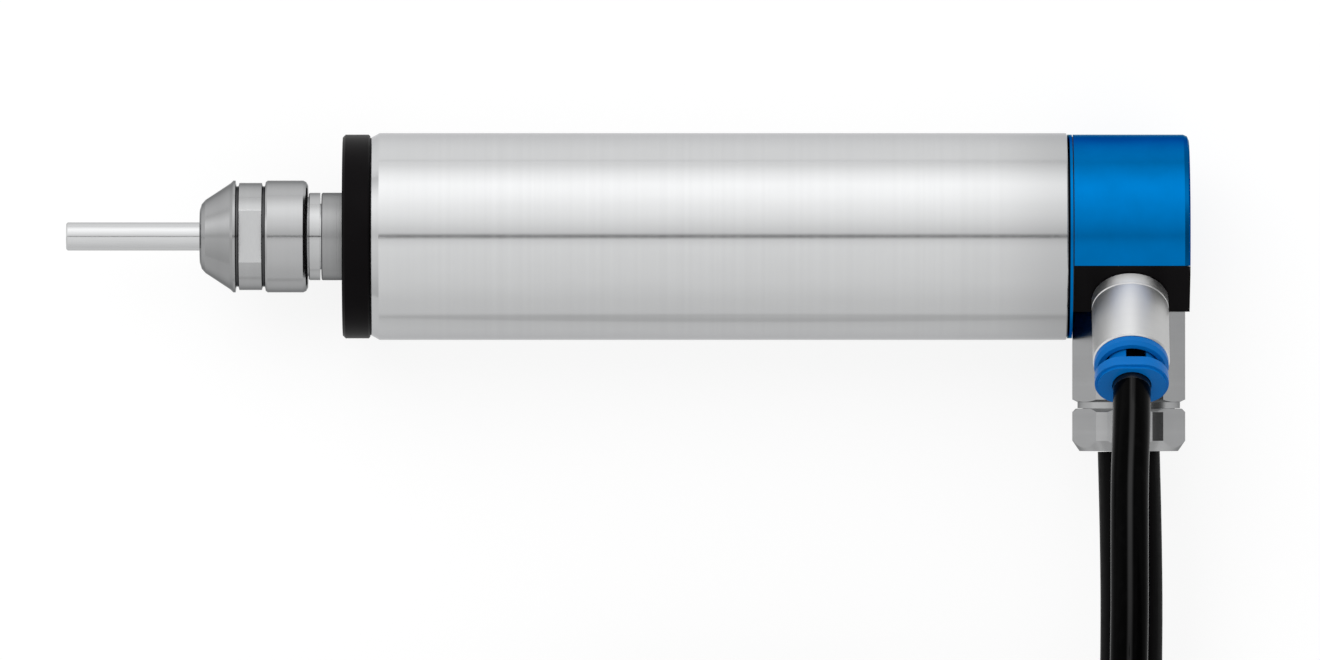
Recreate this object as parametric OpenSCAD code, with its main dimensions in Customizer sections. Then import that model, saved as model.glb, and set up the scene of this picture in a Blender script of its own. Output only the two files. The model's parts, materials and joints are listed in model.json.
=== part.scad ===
// High-speed spindle with a built-in motor, a collet nose, an angled air fitting and a side cord outlet.
// The spindle's axis is X, the nose points to -X, and X is zero where the housing's full diameter begins.
// The spindle lies on a surface under it, with its cord and air hose coiled beside it.

/* [Housing] */
// Outside diameter of the steel housing
housing_d = 22; // [21:0.1:24]
// Length of the steel housing
housing_l = 74; // [72:0.5:90]
// Wall of the steel housing
housing_wall = 1.5; // [1.2:0.1:1.6]
// Length of the bevel on the front edge of the housing
front_bevel = 1; // [0.4:0.1:1.5]

/* [Nose] */
// Thickness of the black ring at the front
nose_ring_l = 2.9; // [2.5:0.1:4]
// Diameter of the neck that stands out of the black ring
neck_d = 9.3; // [9:0.1:10]
// Length of the neck in front of the black ring
neck_l = 2.25; // [1.5:0.05:4]
// Gap between the turning shaft and the neck
running_gap = 0.15; // [0.1:0.05:0.3]
// Length of the shaft's polished shoulder
shoulder_l = 1.2; // [0.8:0.1:2]
// Largest diameter of the collet nut
nut_d = 11.9; // [11.6:0.1:13]
// Length of the collet nut
nut_l = 11.5; // [11.2:0.1:14]
// Length of the nut's plain skirt
skirt_l = 4.7; // [4:0.1:5]
// Length of the nut's band with the two wrench flats
flats_l = 2.9; // [2.4:0.1:3]
// Distance across the wrench flats
flats_w = 10; // [9.6:0.1:10.4]
// Diameter of the thread between shaft and nut
thread_d = 8.4; // [8.2:0.1:8.8]
// Diameter of the bar in the collet
bar_d = 3; // [2:0.1:3.2]
// Length of the bar
bar_l = 30.3; // [25:0.1:40]
// Length of the bar that stands out of the nut
bar_out = 14.2; // [10:0.1:14.5]

/* [Bearings] */
// Outside diameter of a bearing
bearing_d = 13; // [12.8:0.1:13.2]
// Bore of a bearing
bearing_bore = 6; // [5.8:0.1:6.2]
// Width of a bearing
bearing_w = 5; // [4.5:0.1:5.5]
// Diameter of a bearing's balls
ball_d = 1.9; // [1.6:0.1:2]
// Number of balls in a bearing
balls = 8; // [6:1:9]
// Width of the spacers between the two front bearings
spacer_l = 1; // [0.6:0.1:2]

/* [Motor] */
// Distance of the stator core from the front of the housing
stator_x = 21; // [20.5:0.1:22]
// Bore of the stator
stator_bore = 11.4; // [11.2:0.1:11.6]
// Diameter of the rotor magnet
magnet_d = 10; // [9.6:0.1:10]
// Thickness of the sleeve on the magnet
sleeve_t = 0.4; // [0.2:0.05:0.5]
// Length of each winding end
winding_l = 3.4; // [2.5:0.1:3.5]
// Gap between the rear winding end and the sensors
sensor_gap = 0.5; // [0.3:0.1:1.5]

/* [Rear end] */
// Thickness of the blue flange ring that shows
flange_l = 0.55; // [0.4:0.05:1]
// Thickness of the gasket behind the flange
gasket_t = 0.12; // [0.1:0.01:0.2]
// Length of the rear cover
cover_l = 12.3; // [12.2:0.1:14]
// Wall of the rear cover
cover_wall = 1.4; // [1:0.1:1.6]
// Distance of the slanted face from the spindle's axis
facet_reach = 9.55; // [9.3:0.05:9.8]
// Distance of the flat side face from the spindle's axis
side_reach = 8; // [7.8:0.1:8.4]
// Diameter of a rear screw
screw_d = 2; // [1.6:0.1:2.2]
// Diameter of the circle on which the rear screws stand
screw_circle_d = 16; // [15.6:0.1:16.4]

/* [Cord outlet] */
// Distance of the cord outlet and of the air fitting from the back of the rear cover
outlet_inset = 6.35; // [6.2:0.05:6.6]
// Distance across the flats of the cord outlet and its nut
hex_w = 11; // [10.8:0.1:11.2]
// Turned diameter over the corners of the cord outlet and its nut
hex_turned_d = 12; // [11.8:0.1:12.2]
// Length of the cord outlet outside the rear end
outlet_l = 9.7; // [9:0.1:12]
// Length of the gland nut
gland_nut_l = 4.5; // [4:0.1:6]
// Diameter of the motor cord
cord_d = 6.6; // [6:0.1:6.8]

/* [Air fitting] */
// Outside diameter of the fitting's body
fitting_d = 8.15; // [7.8:0.05:8.4]
// Length of the fitting's body outside the slanted face
fitting_l = 9.25; // [8:0.05:12]
// Diameter of the thread that holds the fitting
fitting_thread_d = 3; // [2.8:0.1:3.2]
// Outside diameter of the air hose
hose_d = 4; // [3.8:0.1:4.1]
// Travel of the release ring
release_travel = 0.8; // [0.4:0.1:0.8]
// Length of the blue collar on the fitting's end
collar_l = 1.1; // [0.8:0.1:1.5]
// Width of the oval button on the release ring
button_w = 7.85; // [7.4:0.05:8.2]
// Depth of the oval button on the release ring
button_h = 5.8; // [5.4:0.1:6.4]
// Thickness of the button on the release ring
button_t = 1.5; // [1:0.1:2]

/* [Cord and hose] */
// Width across the middle of the cord coil's turns
cord_coil_d = 74; // [70:1:76]
// Layers in the cord coil
cord_layers = 4; // [3:1:4]
// Width across the middle of the hose coil's turns
hose_coil_d = 40; // [38:1:42]
// Layers in the hose coil
hose_layers = 5; // [4:1:5]
// Width of the ties round the coils
tie_w = 6; // [4:0.5:8]
// Thickness of the ties
tie_t = 0.8; // [0.6:0.1:1]
// Diameter of the plug on the cord
plug_d = 15; // [14:0.5:17]
// Length of the plug's shell
plug_l = 26; // [24:1:30]

/* [Hidden] */
$fn = 72;

// Clearances
cut = 1;
seat_fit = 0.02;
screw_fit = 0.05;
turning_fit = 0.06;
taper_gap = 0.1;
soft_gap = 0.1;
race_gap = 0.15;

// Radii of the housing and the nose
housing_r = housing_d / 2;
bore_r = housing_r - housing_wall;
inner_r = bore_r - seat_fit;
bevel_in = 0.55 * front_bevel;
front_x = -front_bevel;
back_x = front_x + housing_l;
set_back = 0.17;
ring_r = housing_r - set_back;
boss_r = 8;
boss_l = nose_ring_l - 1;
ring_x = front_x - nose_ring_l;
boss_x = front_x - boss_l;
neck_r = neck_d / 2;
journal_r = bearing_bore / 2;
shaft_r = journal_r + 0.5;
neck_bore_r = shaft_r + 0.3;

// Places along the nose, towards -X
neck_x = ring_x - neck_l;
shoulder_back_x = neck_x - running_gap;
shoulder_front_x = shoulder_back_x - shoulder_l;
nut_gap = 0.1;
nut_front_l = 3.5;
nut_lip_l = 0.9;
nut_back_x = shoulder_front_x - nut_gap;
skirt_x = nut_back_x - skirt_l;
flats_x = skirt_x - flats_l;
nut_front_x = nut_back_x - nut_l;
thread_r = thread_d / 2;
thread_front_x = nut_front_x + nut_front_l;
nut_groove = 0.35;
nut_mouth_r = bar_d / 2 + 0.4;
flats_band_r = nut_d / 2 - 0.25;

// Collet: a head between nut and shaft, a taper, and a tail in the shaft's bore
collet_wall = 0.68;
collet_step = 0.85;
collet_taper_l = 5.5;
collet_face = 0.5;
collet_bevel_l = 1.4;
collet_bore_r = bar_d / 2 + seat_fit;
tail_r = collet_bore_r + collet_wall;
head_r = tail_r + collet_step;
collet_front_x = nut_front_x + nut_lip_l;
head_back_x = thread_front_x + 0.1;
taper_back_x = head_back_x + collet_taper_l;
collet_back_x = ring_x + 0.2;
collet_slits = 3;
slit_w = 0.4;
slit_run = 2;
bar_front_x = nut_front_x - bar_out;
bar_back_x = bar_front_x + bar_l;
shaft_bore_x = max(collet_back_x, bar_back_x) + 0.3;

// Front bearings, from the front face of the housing
bearing_r = bearing_d / 2;
bearing_x = front_x + 1.2;
second_bearing_x = bearing_x + bearing_w + spacer_l;
front_stack_x = second_bearing_x + bearing_w;
clamp_l = 2;
clamp_r = 4.9;
cap_back_x = front_stack_x + clamp_l;
lock_nut_r = 4.5;
lock_nut_l = 2.4;

// Inside of a bearing
pitch_r = (bearing_r + journal_r) / 2;
ball_r = ball_d / 2;
groove_r = ball_r + race_gap;
race_land = 0.6;
inner_land_r = pitch_r - race_land;
outer_land_r = pitch_r + race_land;
cage_half = race_land - 0.2;
cage_l = bearing_w - 2;

// Rear bearing, from the back of the housing
holder_l = 10.2;
spring_t = 0.35;
spring_h = 0.8;
holder_inset = 7.7;
holder_back_x = back_x - holder_inset;
holder_x = holder_back_x - holder_l;
rear_bearing_back_x = holder_back_x - spring_h;
rear_bearing_x = rear_bearing_back_x - bearing_w;
shaft_back_x = rear_bearing_back_x + lock_nut_l + 1;
board_t = 1;
board_x = holder_x - board_t;
board_bore_r = 5;
chip = [1.2, 2.6, 1];
chip_circle_r = 7;
holder_rim = 2.2;
spring_in_r = 5.3;
flange_bore_r = 5;

// Motor: the stator fills the room between the front bearings and the sensors
slots = 6;
slot_in_r = stator_bore / 2 + 0.7;
slot_out_r = slot_in_r + 1.9;
slot_w = 2.4;
slot_mouth_w = 0.8;
stator_start_x = front_x + stator_x;
stator_back_x = board_x - chip[0] - sensor_gap - winding_l;
stator_l = stator_back_x - stator_start_x;
magnet_r = magnet_d / 2;
magnet_inset = 1;
magnet_l = stator_l - 2 * magnet_inset;
magnet_x = stator_start_x + magnet_inset;
sleeve_overhang = 0.5;
rotor_x = magnet_x - sleeve_overhang;
rotor_back_x = magnet_x + magnet_l + sleeve_overhang;
balance_r = magnet_r - 0.4;
balance_l = 2.6;

// Rear end
flange_gap = 0.08;
flange_x = back_x + flange_gap;
flange_back_x = back_x + flange_l;
flange_r = housing_r - set_back;
step_r = flange_r - 0.25;
cover_x = flange_back_x + gasket_t;
rear_x = cover_x + cover_l;
cover_r = housing_r - set_back;
cover_edge = 0.6;
cavity_r = cover_r - cover_wall;
cavity_back_x = rear_x - cover_wall - 0.2;
seam_gap = 0.04;
seam_y = (-facet_reach + sqrt(pow(cover_r, 2) - pow(facet_reach, 2))) / sqrt(2);
screw_r = screw_d / 2;
head_r_screw = screw_r + 0.9;
head_h_screw = screw_d * 0.6;
post_r = head_r_screw + 0.2;
screw_circle_r = screw_circle_d / 2;
cover_screw_angles = [-45, 45];
block_screw_angle = 230;
screw_reach = 3;
screw_tip_x = back_x - screw_reach;
lead_r = 0.6;
lead_hole_r = 0.75;
lead_circle_r = 8;
lead_gap = 1.6;
lead_z = [-1.7, 0, 1.7];

// Cord outlet, towards -Y from the flat side face
outlet_x = rear_x - outlet_inset;
outlet_end = side_reach + outlet_l;
gland_gap = 0.6;
gland_y = outlet_end + gland_gap;
gland_end = gland_y + gland_nut_l;
outlet_spigot_r = cord_d / 2 + 0.6;
outlet_spigot_l = 2;
cord_r = cord_d / 2;
cord_bore_r = cord_r + soft_gap;
bush_r = cord_r + 0.95;
gland_thread_r = bush_r + 0.65;
gland_thread_end = gland_end - 1.9;
gland_collar_r = hex_w / 2 - 0.05;
bush_start = outlet_end - 3;
washer_t = 0.3;
hex_chamfer = 0.75;
cord_start = side_reach - outlet_spigot_l + 0.4;

// Air fitting, along its own axis from the spindle's axis
air_tilt = 45;
fitting_r = fitting_d / 2;
fitting_end = facet_reach + fitting_l;
fitting_thread_r = fitting_thread_d / 2;
fitting_thread_l = 2;
air_bore_r = 0.8;
port_gasket_t = 0.4;
port_gasket_w = 1;
thread_room = 0.5;
hose_r = hose_d / 2;
hose_stop = fitting_end - 5.2;
seal_start = hose_stop + 1;
seal_l = 1.6;
claw_l = 0.8;
fitting_bore_r = fitting_r - 0.48;
claw_start = seal_start + seal_l + 0.1;
collar_start = claw_start + claw_l + 0.1;
collar_bore_r = fitting_bore_r - 0.5;
collar_end = fitting_end + collar_l;
collar_r = fitting_r - 0.12;
release_fit = 0.08;
release_r = collar_bore_r - 0.25;
release_start = claw_start + claw_l + release_travel + 0.1;
button_start = collar_end + release_travel + 0.2;
button_end = button_start + button_t;
hose_exit = button_end + 0.7;
release_slots = 4;
release_slot_w = 2.2;

// Surface that the spindle lies on
floor_z = -housing_r;

// The stretches that lie free, as points on the middle of the cord and of the hose
hose_leave = hose_exit / sqrt(2);
hose_route = [
    [outlet_x, -hose_leave, hose_leave], [outlet_x, -hose_leave - 4, hose_leave + 4],
    [79.5, -26, 24.6], [79.3, -33, 27.8], [79, -41, 29.4], [78.6, -49, 29.2], [77.8, -57, 27.4],
    [76, -65, 24.8], [73, -73, 22.4], [69.5, -80, 20.6], [66, -87, 18.4], [63.5, -94, 15.4],
    [61.6, -102, 11.8]
];
cord_route = [
    [outlet_x, -gland_end, 0], [outlet_x, -30, 0], [79.6, -38, -0.4], [79.6, -47, -1.6],
    [79.6, -56, -3.4], [79.6, -65, -5.2], [79.6, -75, -6.6]
];
tail_route = [
    [29, -133, 11.6], [21, -133.6, 9.4], [13, -133.4, 6.6], [5, -131.6, 3.6], [-2.5, -128, 0.8],
    [-8.6, -122.6, -1.4], [-12.6, -116, -2.8], [-14.6, -109, -3.4], [-15, -103, -3.5], [-15, -99, -3.5]
];
coil_centre = [39.3, -94];
cord_coil_wide = 2 * cord_d;
cord_coil_high = cord_layers * cord_d;
cord_coil_z = floor_z + tie_t;
hose_coil_wide = 3 * hose_d;
hose_coil_high = hose_layers * hose_d;
hose_coil_z = floor_z + tie_t;
tie_gap = 0.1;
cord_tie_angles = [-12, 168];
hose_tie_angles = [100, 280];

// Plug, along +Y from the end of the cord's tail
plug_r = plug_d / 2;
plug_x = -15;
plug_y = -99;
plug_z = -3.5;
relief_l = 14;
relief_r = cord_r + 1.7;
relief_grooves = 5;
relief_pitch = 2.3;
relief_groove_w = 1;
relief_groove_depth = 0.6;
plug_step_l = 9;
ring_l = 12;
ring_start = relief_l + plug_l - plug_step_l;
insert_l = 7;
pins = 8;
pin_hole_r = 0.5;

// A body turned about the spindle's axis, from points of radius and place along X
module turned(points) {
    rotate([0, 90, 0]) rotate_extrude() polygon(points);
}

// A plain ring about the spindle's axis, from one place along X to another
module ring(from, to, outer, inner) {
    turned([[inner, from], [outer, from], [outer, to], [inner, to]]);
}

// A rod along X at a place in the YZ plane
module rod_x(from, to, radius, y = 0, z = 0) {
    translate([from, y, z]) rotate([0, 90, 0]) cylinder(h = to - from, r = radius);
}

// Puts what is drawn along +Z on the cord outlet's axis, which runs towards -Y
module on_outlet_axis() {
    translate([outlet_x, 0, 0]) rotate([90, 0, 0]) children();
}

// Puts what is drawn along +Z on the air fitting's axis, which leans over by air_tilt
module on_air_axis() {
    translate([outlet_x, 0, 0]) rotate([air_tilt, 0, 0]) children();
}

// A hexagon with turned corners and an optional bevel at its far end
module turned_hex(height, bevel_l, bevel_r) {
    intersection() {
        cylinder(h = height, r = hex_w / sqrt(3), $fn = 6);
        rotate_extrude() polygon([
            [0, 0], [hex_turned_d / 2, 0], [hex_turned_d / 2, height - bevel_l],
            [hex_turned_d / 2 - bevel_r, height], [0, height]
        ]);
    }
}

// Housing and nose
module housing_tube() {
    color("silver") turned([
        [bore_r, front_x], [housing_r - bevel_in, front_x], [housing_r, 0],
        [housing_r, back_x - 0.1], [housing_r - 0.1, back_x], [bore_r, back_x]
    ]);
}

module nose_ring() {
    edge = 0.3;
    color("#1e1c1c") turned([
        [neck_r + 0.1, ring_x], [ring_r - edge, ring_x], [ring_r, ring_x + edge],
        [ring_r, front_x - 0.15], [ring_r - 0.15, front_x], [boss_r + screw_fit, front_x],
        [boss_r + screw_fit, boss_x], [neck_r + 0.1, boss_x]
    ]);
}

module front_cap() {
    color("gainsboro") turned([
        [neck_bore_r, neck_x], [neck_r - 0.1, neck_x], [neck_r, neck_x + 0.1], [neck_r, boss_x],
        [boss_r, boss_x], [boss_r, front_x], [inner_r, front_x], [inner_r, cap_back_x],
        [bearing_r + seat_fit, cap_back_x], [bearing_r + seat_fit, bearing_x],
        [outer_land_r, bearing_x], [outer_land_r, front_x], [neck_bore_r, front_x]
    ]);
}

// One ball bearing's parts, drawn from zero along +X
module outer_race() {
    rotate([0, 90, 0]) rotate_extrude() difference() {
        polygon([
            [outer_land_r, 0], [bearing_r - 0.2, 0], [bearing_r, 0.2],
            [bearing_r, bearing_w - 0.2], [bearing_r - 0.2, bearing_w], [outer_land_r, bearing_w]
        ]);
        translate([pitch_r, bearing_w / 2]) circle(r = groove_r);
    }
}

module inner_race() {
    rotate([0, 90, 0]) rotate_extrude() difference() {
        translate([journal_r, 0]) square([inner_land_r - journal_r, bearing_w]);
        translate([pitch_r, bearing_w / 2]) circle(r = groove_r);
    }
}

module ball_set() {
    for (i = [0:balls - 1])
        rotate([i * 360 / balls, 0, 0]) translate([bearing_w / 2, 0, pitch_r]) sphere(r = ball_r);
}

module ball_cage() {
    difference() {
        ring((bearing_w - cage_l) / 2, (bearing_w + cage_l) / 2, pitch_r + cage_half, pitch_r - cage_half);
        for (i = [0:balls - 1])
            rotate([i * 360 / balls, 0, 0]) translate([bearing_w / 2, 0, pitch_r - cut])
                cylinder(h = 2 * cut, r = ball_r + 0.05);
    }
}

module at_front_bearings() {
    for (x = [bearing_x, second_bearing_x]) translate([x, 0, 0]) children();
}

module front_bearing_outer_rings() {
    color("lightsteelblue") at_front_bearings() outer_race();
}

module front_bearing_inner_rings() {
    color("lightsteelblue") at_front_bearings() inner_race();
}

module front_bearing_balls() {
    color("whitesmoke") at_front_bearings() ball_set();
}

module front_bearing_cages() {
    color("saddlebrown") at_front_bearings() ball_cage();
}

module outer_spacer() {
    color("silver") ring(bearing_x + bearing_w, second_bearing_x, bearing_r, outer_land_r + 0.3);
}

module inner_spacer() {
    color("silver") ring(bearing_x + bearing_w, second_bearing_x, inner_land_r - 0.2, journal_r);
}

module bearing_clamp_ring() {
    notch = 1.2;
    color("dimgray") difference() {
        ring(front_stack_x, cap_back_x, bearing_r, clamp_r);
        for (a = [0, 90]) rotate([a, 0, 0])
            translate([cap_back_x - notch / 2, -notch / 2, -bearing_r - cut])
                cube([notch, notch, 2 * (bearing_r + cut)]);
    }
}

// A slim nut that holds an inner bearing ring on the shaft
module lock_nut(x) {
    slot = 1;
    color("dimgray") difference() {
        ring(x, x + lock_nut_l, lock_nut_r, journal_r);
        for (a = [0, 60, 120]) rotate([a, 0, 0])
            translate([x + lock_nut_l - slot, -slot / 2, -lock_nut_r - cut])
                cube([slot + cut, slot, 2 * (lock_nut_r + cut)]);
    }
}

module front_lock_nut() {
    lock_nut(front_stack_x);
}

module rear_lock_nut() {
    lock_nut(rear_bearing_back_x);
}

// Rotor
module spindle_shaft() {
    end_bevel = 0.4;
    color("silver") turned([
        [0, shaft_bore_x + 0.8], [tail_r + turning_fit, shaft_bore_x],
        [tail_r + turning_fit, taper_back_x], [head_r, head_back_x - 0.1],
        [thread_r - 0.3, head_back_x - 0.1], [thread_r, head_back_x + 0.2],
        [thread_r, shoulder_front_x], [neck_r - 0.1, shoulder_front_x],
        [neck_r, shoulder_front_x + 0.1], [neck_r, shoulder_back_x], [shaft_r, shoulder_back_x],
        [shaft_r, bearing_x], [journal_r, bearing_x], [journal_r, shaft_back_x - end_bevel],
        [journal_r - end_bevel, shaft_back_x], [0, shaft_back_x]
    ]);
}

module rotor_magnet() {
    color("darkslategray") ring(magnet_x, magnet_x + magnet_l, magnet_r, journal_r);
}

module rotor_sleeve() {
    color("slategray") ring(rotor_x, rotor_back_x, magnet_r + sleeve_t, magnet_r);
}

module balance_rings() {
    spots = [0, 50, 200];
    color("goldenrod") for (x = [rotor_x + sleeve_overhang - balance_l, rotor_back_x - sleeve_overhang])
        difference() {
            ring(x, x + balance_l, balance_r, journal_r);
            for (a = spots) rotate([a, 0, 0]) translate([x + balance_l / 2, 0, balance_r - 0.7])
                cylinder(h = cut, r = 0.6);
        }
}

// Stator: a slotted core, and the winding that fills its slots and stands out at both ends
module stator_core() {
    color("#5a5f66") difference() {
        ring(stator_start_x, stator_back_x, inner_r, stator_bore / 2);
        for (i = [0:slots - 1]) rotate([(i + 0.5) * 360 / slots, 0, 0]) {
            translate([stator_start_x - cut, -slot_w / 2, slot_in_r])
                cube([stator_l + 2 * cut, slot_w, slot_out_r - slot_in_r]);
            translate([stator_start_x - cut, -slot_mouth_w / 2, stator_bore / 2 - cut])
                cube([stator_l + 2 * cut, slot_mouth_w, slot_in_r - stator_bore / 2 + cut + 0.1]);
        }
    }
}

module winding_end(x) {
    round = 0.9;
    rotate([0, 90, 0]) rotate_extrude() translate([slot_in_r + 0.1, x]) {
        translate([0, round]) square([slot_out_r - slot_in_r - 0.2, winding_l - 2 * round]);
        for (y = [round, winding_l - round])
            translate([round - 0.05, y]) circle(r = round - 0.05);
        translate([round - 0.05, 0.05]) square([0.02, winding_l - 0.1]);
    }
}

module stator_windings() {
    wire_gap = 0.1;
    color("#b5672b") {
        winding_end(stator_start_x - winding_l);
        winding_end(stator_back_x);
        for (i = [0:slots - 1]) rotate([(i + 0.5) * 360 / slots, 0, 0])
            translate([stator_start_x - 0.6, wire_gap - slot_w / 2, slot_in_r + wire_gap])
                cube([stator_l + 1.2, slot_w - 2 * wire_gap, slot_out_r - slot_in_r - 2 * wire_gap]);
    }
}

// The three holes that the leads pass through
module lead_holes(from, to) {
    for (z = lead_z) rod_x(from, to, lead_hole_r, sqrt(pow(lead_circle_r, 2) - pow(z, 2)), z);
}

module sensor_board() {
    color("darkgreen") difference() {
        ring(board_x, holder_x, inner_r - 0.1, board_bore_r);
        lead_holes(board_x - cut, holder_x + cut);
    }
}

module hall_sensors() {
    color("#202020") for (a = [90, 210, 330]) rotate([a, 0, 0])
        translate([board_x - chip[0], -chip[1] / 2, chip_circle_r - chip[2] / 2]) cube(chip);
}

// Rear bearing and its holder
module rear_bearing_holder() {
    color("silver") difference() {
        turned([
            [inner_r - holder_rim, holder_x], [inner_r, holder_x], [inner_r, holder_back_x],
            [bearing_r + seat_fit, holder_back_x], [bearing_r + seat_fit, rear_bearing_x],
            [outer_land_r, rear_bearing_x], [outer_land_r, rear_bearing_x - 1.5],
            [inner_r - holder_rim, rear_bearing_x - 1.5]
        ]);
        lead_holes(holder_x - cut, holder_back_x + cut);
    }
}

module rear_bearing_outer_ring() {
    color("lightsteelblue") translate([rear_bearing_x, 0, 0]) outer_race();
}

module rear_bearing_inner_ring() {
    color("lightsteelblue") translate([rear_bearing_x, 0, 0]) inner_race();
}

module rear_bearing_balls() {
    color("whitesmoke") translate([rear_bearing_x, 0, 0]) ball_set();
}

module rear_bearing_cage() {
    color("saddlebrown") translate([rear_bearing_x, 0, 0]) ball_cage();
}

module preload_spring() {
    color("steelblue") turned([
        [spring_in_r, holder_back_x - spring_t], [spring_in_r, holder_back_x],
        [spring_in_r + 0.1, holder_back_x], [bearing_r - 0.1, rear_bearing_back_x + spring_t],
        [bearing_r - 0.1, rear_bearing_back_x], [bearing_r - 0.3, rear_bearing_back_x]
    ]);
}

// Places of the three rear screws, as angle about X
module at_screws(angles) {
    for (a = angles) translate([0, screw_circle_r * cos(a), screw_circle_r * sin(a)]) children();
}

all_screw_angles = concat(cover_screw_angles, [block_screw_angle]);

module rear_flange() {
    color("#0a62a8") difference() {
        turned([
            [flange_bore_r, holder_back_x], [inner_r, holder_back_x], [inner_r, back_x],
            [step_r, back_x], [step_r, flange_x], [flange_r, flange_x],
            [flange_r, flange_back_x], [flange_bore_r, flange_back_x]
        ]);
        lead_holes(holder_back_x - cut, flange_back_x + cut);
        at_screws(all_screw_angles) rod_x(screw_tip_x - cut / 2, flange_back_x + cut, screw_r + screw_fit);
    }
}

// The outline of the rear end, as a turned body cut flat at the slanted face and at the side face
module rear_form(from, to, radius, edge) {
    intersection() {
        turned([[0, from], [radius, from], [radius, to - edge], [radius - 0.3 * edge, to - 0.3 * edge],
            [radius - edge, to], [0, to]]);
        translate([from - cut, -side_reach, -2 * radius]) cube([to - from + 2 * cut, 3 * radius, 4 * radius]);
        translate([from - cut, 0, 0]) rotate([air_tilt, 0, 0])
            translate([0, -2 * radius, facet_reach - 4 * radius])
                cube([to - from + 2 * cut, 4 * radius, 4 * radius]);
    }
}

module rear_gasket() {
    color("#101010") difference() {
        rear_form(flange_back_x, cover_x, step_r, 0.01);
        rod_x(flange_back_x - cut, cover_x + cut, flange_bore_r);
        lead_holes(flange_back_x - cut, cover_x + cut);
        at_screws(all_screw_angles) rod_x(flange_back_x - cut, cover_x + cut, screw_r + screw_fit);
    }
}

// A screw's hole with the counterbore for its head, open at the back
module screw_hole() {
    rod_x(cover_x - cut, rear_x + cut, screw_r + screw_fit);
    rod_x(rear_x - head_h_screw - 0.1, rear_x + cut, head_r_screw + 0.1);
}

module rear_cover() {
    color("#0a6ab8") difference() {
        intersection() {
            union() {
                difference() {
                    rear_form(cover_x, rear_x, cover_r, cover_edge);
                    rod_x(cover_x - cut, cavity_back_x, cavity_r);
                }
                intersection() {
                    at_screws(cover_screw_angles) rod_x(cover_x, rear_x - cover_wall, post_r);
                    rear_form(cover_x, rear_x, cover_r, cover_edge);
                }
            }
            translate([cover_x - cut, seam_y, -2 * cover_r])
                cube([cover_l + 2 * cut, 2 * cover_r, 4 * cover_r]);
        }
        at_screws(cover_screw_angles) screw_hole();
    }
}

module port_block() {
    color("#151316") difference() {
        intersection() {
            rear_form(cover_x, rear_x, cover_r, cover_edge);
            translate([cover_x - cut, seam_y - seam_gap - 2 * cover_r, -2 * cover_r])
                cube([cover_l + 2 * cut, 2 * cover_r, 4 * cover_r]);
        }
        on_outlet_axis() cylinder(h = side_reach + cut, r = outlet_spigot_r + screw_fit);
        on_air_axis() {
            translate([0, 0, facet_reach - fitting_thread_l - thread_room])
                cylinder(h = fitting_thread_l + cut, r = fitting_thread_r + screw_fit);
            translate([0, 0, facet_reach - port_gasket_t])
                cylinder(h = port_gasket_t + cut, r = fitting_thread_r + port_gasket_w);
            cylinder(h = facet_reach, r = air_bore_r + 0.1);
        }
        at_screws([block_screw_angle]) screw_hole();
    }
}

module cover_screws() {
    socket = 1.5;
    color("#3a3a3e") at_screws(all_screw_angles) difference() {
        union() {
            rod_x(screw_tip_x, rear_x - 0.1, screw_r);
            rod_x(rear_x - head_h_screw - 0.1, rear_x - 0.1, head_r_screw);
        }
        translate([rear_x - 0.9, 0, 0]) rotate([0, 90, 0]) cylinder(h = cut, r = socket / sqrt(3), $fn = 6);
    }
}

// The three motor leads, from the winding to the cord, in the cover's hollow
module motor_leads() {
    lead_x = [outlet_x - lead_gap, outlet_x, outlet_x + lead_gap];
    color("firebrick") for (i = [0:len(lead_z) - 1]) {
        y = sqrt(pow(lead_circle_r, 2) - pow(lead_z[i], 2));
        rod_x(stator_back_x + winding_l, lead_x[i], lead_r, y, lead_z[i]);
        translate([lead_x[i], y, lead_z[i]]) {
            sphere(r = lead_r);
            rotate([90, 0, 0]) cylinder(h = y + cord_start, r = lead_r);
        }
    }
}

// Collet and nut
module collet() {
    color("gray") difference() {
        turned([
            [collet_bore_r, collet_front_x], [collet_bore_r + collet_face, collet_front_x],
            [head_r - taper_gap, collet_front_x + collet_bevel_l], [head_r - taper_gap, head_back_x],
            [tail_r, taper_back_x], [tail_r, collet_back_x], [collet_bore_r, collet_back_x]
        ]);
        for (i = [0:collet_slits - 1]) rotate([i * 180 / collet_slits, 0, 0])
            translate([collet_front_x - cut, -slit_w / 2, -2 * head_r])
                cube([taper_back_x - collet_front_x + cut + slit_run, slit_w, 4 * head_r]);
    }
}

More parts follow.
